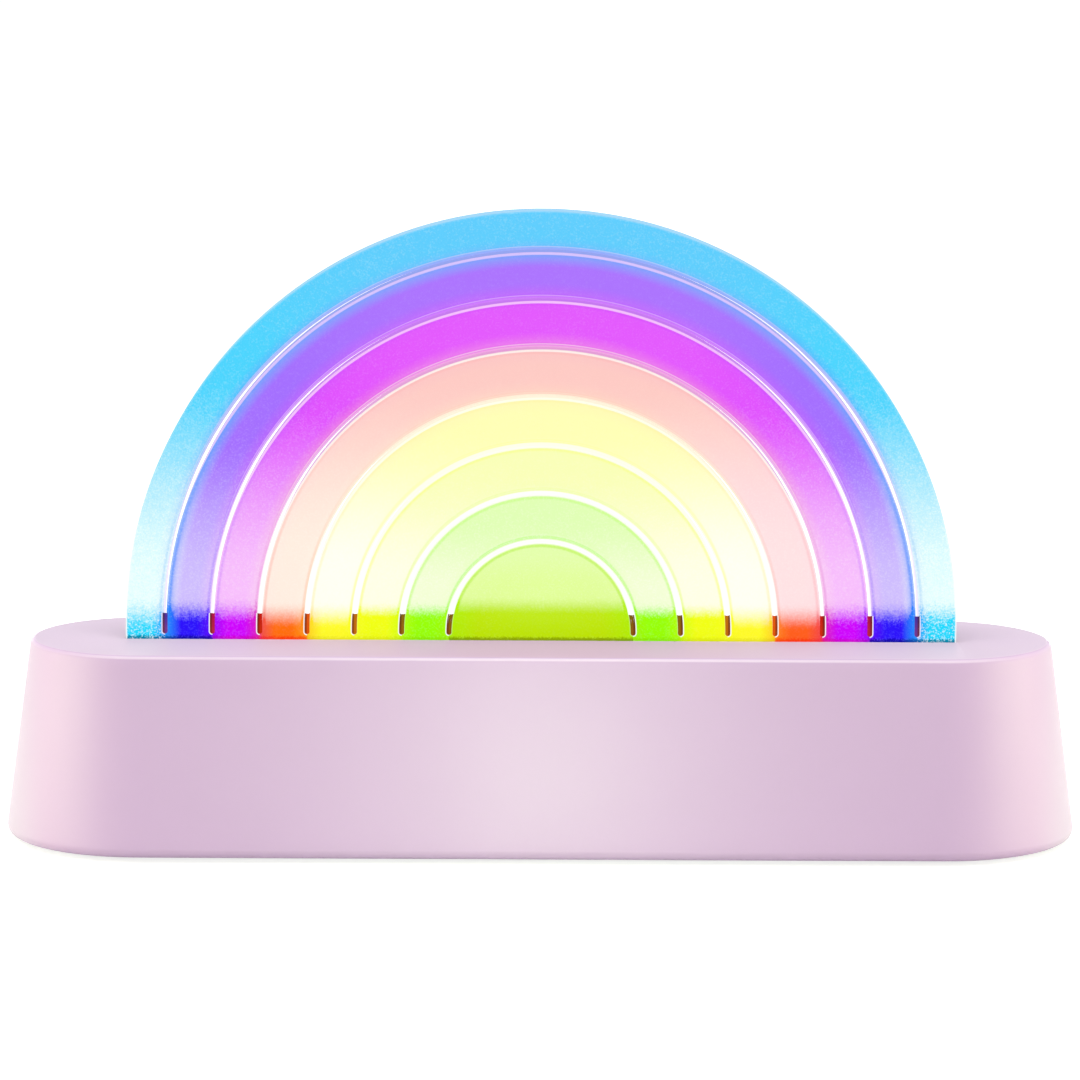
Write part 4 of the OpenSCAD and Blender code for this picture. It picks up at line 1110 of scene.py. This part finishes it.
# %% Table of the finishes
FINISHES = {
    "cover_plastic": moulded("lilac cover plastic", (217, 194, 214), (208, 184, 206), 0.5, 1100, 0.12),
    "foot_rubber": moulded("grey rubber", (96, 92, 96), (80, 77, 81), 0.75, 2200, 0.2, 0.2),
    "screw_steel": metal("plated screw steel", (196, 198, 202)),
    "holder_plastic": moulded("white holder plastic", (240, 240, 236), (230, 231, 229), 0.45),
    "board_white": lacquered("white board", (238, 240, 236), (214, 212, 198)),
    "board_green": lacquered("green board", (22, 92, 54), (62, 138, 74)),
    "led_body": moulded("white lamp body", (244, 244, 238), (232, 232, 224), 0.35, 3000),
    "led_lens": clear("clear lens fill", (250, 244, 214), 0.6),
    "capacitor_body": moulded("tan ceramic", (186, 150, 108), (160, 124, 84), 0.4, 5000, 0.1),
    "resistor_body": moulded("black lacquer on ceramic", (34, 34, 38), (52, 52, 56), 0.3, 5000, 0.1),
    "chip_black": moulded("black moulding compound", (30, 30, 32), (42, 42, 44), 0.6, 4200, 0.25),
    "ferrite": moulded("dark ferrite", (62, 60, 60), (44, 43, 44), 0.55, 3600, 0.3),
    "connector_plastic": moulded("ivory connector plastic", (238, 232, 212), (226, 218, 196), 0.4, 1800),
    "wire_sleeve": moulded("soft wire sleeve", (188, 40, 38), (160, 30, 30), 0.42, 1600, 0.06),
    "port_steel": metal("drawn socket steel", (206, 207, 210), 0.22),
    "port_black": moulded("black socket plastic", (24, 24, 26), (38, 38, 40), 0.45, 2600),
    "mic_metal": metal("microphone can", (204, 200, 190), 0.3),
    "mic_felt": moulded("black felt", (30, 30, 32), (56, 56, 58), 0.95, 3800, 0.9, 0.1),
    "light_pipe": clear("clear light pipe", (246, 250, 255), 0.15),
    "button_plastic": moulded("lilac button plastic", (207, 175, 214), (202, 169, 209), 0.34, 1700),
    "switch_black": moulded("black switch plastic", (28, 28, 30), (40, 40, 42), 0.5, 2400),
    "cell_wrap": moulded("blue shrink sleeve", (44, 96, 168), (34, 80, 150), 0.28, 900, 0.1),
    "cell_ring": moulded("white paper ring", (240, 240, 236), (226, 226, 222), 0.8, 2600, 0.4),
    "tray_plastic": moulded("black tray plastic", (40, 40, 43), (52, 52, 55), 0.5, 1500, 0.15),
    "spring_brass": metal("plated spring brass", (214, 190, 128), 0.3),
    "shell_plastic": shell_finish,
    "clear_sheet": lit_sheet,
    "stop_plastic": stops.data.materials[0],
}


def dress(node, finish):
    """Gives a part of the frame its finish, without touching its shape."""
    for held in node.material_slots:
        held.material = finish


for part in frame["record"]["subparts"]:
    dress(frame["nodes"][part["node"]], FINISHES[part["material_slot"]])
print("finishes:", len(FINISHES), "for", len(frame["nodes"]), "parts")

# %% [markdown]
# ## Feet and screws
# Turned parts repeat under the lamp: four rubber feet and six screws of the cover. One tree turns a
# profile round an axis, as a lathe does. Its profile is a list of radii and heights, which a colour ramp
# holds as red and green. Points by a rule say where the copies stand.

# %% Turned parts
LATHE_STEPS = 40
PROFILE_SCALE = 20
FOOT_PROFILE = [(0, 0.35), (3.2, 0.35), (3.6, 0.2), (3.8, 0.03), (4.1, 0), (5.3, 0), (5.75, 0.12),
                (5.95, 0.42), (6, 0.7), (6, 1.85), (5.85, 2), (0, 2)]
SCREW_PROFILE = [(0, 1.3), (1.5, 1.3), (2.05, 1.42), (2.33, 1.68), (2.4, 2), (2.4, 2.5), (1.35, 2.5),
                 (1.3, 2.6), (1.3, 11.2), (0.4, 12.5), (0, 12.5)]
# the cross in a screw's head
CROSS_LENGTH, CROSS_DEPTH, HEAD_FACE = 2.64 * MM, 0.6 * MM, 1.3 * MM


def lathe(board, profile):
    """A turned shape round Z, from pairs of radius and height in millimetres."""
    rows = len(profile)
    grid = board.add("GeometryNodeMeshGrid", {"Vertices X": LATHE_STEPS + 1, "Vertices Y": rows})
    index = board.add("GeometryNodeInputIndex")
    column = ((index + 0.5) / rows).whole()
    spot = board.add("ShaderNodeSeparateXYZ", {0: board.ramp((index - column * rows) / (rows - 1), [
        (number / (rows - 1), (radius / PROFILE_SCALE, height / PROFILE_SCALE, 0))
        for number, (radius, height) in enumerate(profile)])})
    radius, turn = spot * (PROFILE_SCALE * MM), column * (2 * math.pi / LATHE_STEPS)
    place = board.add("ShaderNodeCombineXYZ", {
        0: radius * turn.cosine(), 1: radius * turn.sine(), 2: spot.out(1) * (PROFILE_SCALE * MM)})
    turned = board.add("GeometryNodeSetPosition", {"Geometry": grid, "Position": place})
    return board.add("GeometryNodeMergeByDistance", {"Geometry": turned, "Distance": SAME_POINT})


def copies(board, shape, count, x, y):
    """Copies of a shape on numbered points."""
    return board.add("GeometryNodeInstanceOnPoints", {
        "Points": placed_points(board, count, x, y), "Instance": shape})


print("rings of a foot:", len(FOOT_PROFILE), "and of a screw:", len(SCREW_PROFILE))

# %% [markdown]
# The four feet and four of the screws stand at the corners of a rectangle, so their places are signs
# times a reach. The last two screws stand at the ends. Each screw has a cross for the driver in its head.

# %% Feet and screws
def corner_signs(board):
    """1 or -1 for X and for Y: four corners by number."""
    point = board.add("GeometryNodeInputIndex")
    half = (point / 2).whole()
    return point, 1 - 2 * (point - half * 2), 1 - 2 * (half > 0.5)


def feet_tree():
    board, size = new_shape_tree("rubber feet", {"Reach": 90 * MM, "Side": 16 * MM})
    _, left, front = corner_signs(board)
    feet = copies(board, lathe(board, FOOT_PROFILE), 4, left * size["Reach"], front * size["Side"])
    return end_shape_tree(board, feet, size["Finish"])


def screws_tree():
    board, size = new_shape_tree("cover screws", {
        "Reach": 62 * MM, "Side": 21.95 * MM, "End reach": 113.16 * MM, "Recess width": 0.65 * MM})
    screw = lathe(board, SCREW_PROFILE)
    for wide, deep in ((CROSS_LENGTH, size["Recess width"]), (size["Recess width"], CROSS_LENGTH)):
        corners = board.add("ShaderNodeCombineXYZ", {0: wide, 1: deep, 2: 2 * CROSS_DEPTH})
        bar = board.add("GeometryNodeMeshCube", {"Size": corners})
        bar = board.add("GeometryNodeTransform", {"Geometry": bar, "Translation": (0, 0, HEAD_FACE)})
        screw = board.add("GeometryNodeMeshBoolean", {"Mesh 1": screw, "Mesh 2": bar}, operation="DIFFERENCE")
    point, left, front = corner_signs(board)
    at_end = point > 3.5
    x = left * (size["Reach"] + at_end * (size["End reach"] - size["Reach"]))
    screws = copies(board, screw, 6, x, (1 - at_end) * front * size["Side"])
    return end_shape_tree(board, screws, size["Finish"])


def turned_set(name, tree, slot, node):
    piece = outward(piece_from_tree(name, tree, FINISHES[slot]))
    shade(piece, 35)
    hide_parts(node)
    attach(piece, "lamp_base")
    return piece


feet = turned_set("rubber_foot_set", feet_tree(), "foot_rubber", "rubber_feet")
screws = turned_set("cover_screw_set", screws_tree(), "screw_steel", "cover_screws")
print("feet:", triangles(feet), "triangles, screws:", triangles(screws), "triangles")

# %% [markdown]
# ## Push buttons
# Three round caps stand a little proud of the sloping rear wall. Each is one moulding: a flange inside
# the wall that holds it, a shaft, and a face parallel to the wall with a rounded rim and a shallow dish
# for the fingertip. Every ring of points has its own radius; the face's rings follow the wall's slope.

# %% Button caps
BUTTON_PROUD = 0.8 * MM / math.cos(LEAN)
FLANGE_BACK = 28.354
BUTTON_STEPS = 56
# radius and place along Y of each ring: first inside, in millimetres from the middle, then from the face
BUTTON_INSIDE = [(0.02, FLANGE_BACK), (4.5, FLANGE_BACK), (4.66, FLANGE_BACK + 0.1),
                 (4.66, FLANGE_BACK + 0.88), (4.5, FLANGE_BACK + 1), (3.75, FLANGE_BACK + 1),
                 (3.5, FLANGE_BACK + 1.3)]
BUTTON_FACE = [(3.5, -0.6), (3.46, -0.34), (3.34, -0.15), (3.14, -0.04), (2.9, 0), (2.62, -0.05),
               (2.1, -0.2), (1.4, -0.31), (0.7, -0.36), (0.02, -0.38)]


def cap_ring(middle, radius, place, on_face):
    """A ring of a cap. On the face it stands at its distance from the wall, which leans."""
    points = []
    for step in range(BUTTON_STEPS):
        turn = 2 * math.pi * step / BUTTON_STEPS
        x, z = middle + radius * MM * math.cos(turn), BUTTON_Z + radius * MM * math.sin(turn)
        points.append((x, place * MM + on_face * (outer_half(z) + BUTTON_PROUD), z))
    return points


def button_cap(name, middle):
    cap = lofted(name, [cap_ring(middle, radius, place, on_face)
                        for on_face, profile in enumerate((BUTTON_INSIDE, BUTTON_FACE))
                        for radius, place in profile])
    cap.data.materials.append(FINISHES["button_plastic"])
    return shade(cap, 40)


for node, place in BUTTON_AT.items():
    cap = button_cap(node + "_cap", place)
    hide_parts(node)
    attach(cap, node)
    print(node, "cap:", triangles(cap), "triangles")

# %% [markdown]
# ## Room and light
# The lamp stands on a white floor in a white room. A wide soft light stands in front and above, a
# narrow one right above, and two stand behind, one low and one high, for the top face and its rear
# edge. Small lights close to the front and to both ends lift the lilac there. They are a little green,
# because lilac plastic gives back less green, and so their light on it looks white. The camera sees
# the floor and the room as plain white, and the floor keeps the base's shadow.

# %% Floor, room and lamps
FLOOR_HALF = 6.0
FLOOR_GREYS = ((0.62, 0.62, 0.62, 1), (0.6, 0.6, 0.6, 1))
FLOOR_LIFT = 0.76
AMBIENT = 0.45
NEUTRAL, GREENISH, PALE_GREEN = (1, 1, 1), (0.66, 1.0, 0.51), (0.87, 1.0, 0.57)
# name, place, what it points at, width, height, power in watts, and colour; the camera sees none of them
LAMPS = [
    ("front light", (0, -1.9, 1.2), (0, 0, 0.05), 1.6, 0.8, 4, NEUTRAL),
    ("overhead strip", (0, -0.2, 1.2), (0, 0, 0.05), 1.2, 0.1, 7.4, NEUTRAL),
    ("rear light", (0, 1.9, 0.05), (0, 0, 0.03), 1.6, 0.08, 11, NEUTRAL),
    ("rear overhead light", (0, 0.9, 1.1), (0, 0, 0.05), 1.2, 0.3, 2.4, NEUTRAL),
    ("near front light", (0, -0.12, 0.03), (0, 0, 0.03), 0.02, 0.04, 0.042, GREENISH),
    ("side light", (-0.40, -0.10, 0.06), (-0.1, 0, 0.03), 0.34, 0.15, 1.0, PALE_GREEN),
    ("side light", (0.40, -0.10, 0.06), (0.1, 0, 0.03), 0.34, 0.15, 1.0, PALE_GREEN),
]


def seen_directly(board):
    """1 where a thing is seen by itself, in a gloss or through clear plastic, and 0 for soft light."""
    path = board.add("ShaderNodeLightPath")
    return path.out("Is Camera Ray").most(path.out("Is Glossy Ray")).most(path.out("Is Transmission Ray"))


def white_floor():
    material = bpy.data.materials.new("white floor")
    material.use_nodes = True
    board = Board(material.node_tree)
    board.tree.nodes.clear()
    paper = board.add("ShaderNodeBsdfDiffuse", {0: board.blend(board.noise(3, 2) * 0.5, *FLOOR_GREYS)})
    lift = board.add("ShaderNodeEmission", {0: WHITE, 1: seen_directly(board) * FLOOR_LIFT})
    # from below the floor is clear, so that the lamp's underside can be looked at
    board.end("ShaderNodeOutputMaterial", board.add("ShaderNodeMixShader", {
        0: board.add("ShaderNodeNewGeometry").out("Backfacing"),
        1: board.add("ShaderNodeAddShader", {0: paper, 1: lift}),
        2: board.add("ShaderNodeBsdfTransparent")}))
    return material


def build_floor():
    floor = new_piece("floor")
    floor.data.from_pydata([(x * FLOOR_HALF, y * FLOOR_HALF, 0) for x, y in CORNERS], [], [range(4)])
    floor.data.materials.append(white_floor())
    return floor


def build_room():
    world = bpy.data.worlds.new("white room")
    bpy.context.scene.world = world
    world.use_nodes = True
    board = Board(world.node_tree)
    board.tree.nodes.clear()
    strength = AMBIENT + (1 - AMBIENT) * seen_directly(board)
    board.end("ShaderNodeOutputWorld", board.add("ShaderNodeBackground", {0: WHITE, 1: strength}))


def soft_lamp(name, place, target, wide, high, power, colour):
    lamp = bpy.data.objects.new(name, bpy.data.lights.new(name, "AREA"))
    bpy.context.scene.collection.objects.link(lamp)
    lamp.data.shape, lamp.data.size, lamp.data.size_y = "RECTANGLE", wide, high
    lamp.data.energy, lamp.data.color, lamp.location = power, colour, place
    lamp.rotation_euler = (Vector(target) - Vector(place)).to_track_quat("-Z", "Y").to_euler()


bpy.context.scene.view_settings.view_transform = "Standard"
floor = build_floor()
build_room()
for lamp in LAMPS:
    soft_lamp(*lamp)
print("lamps:", len(LAMPS))
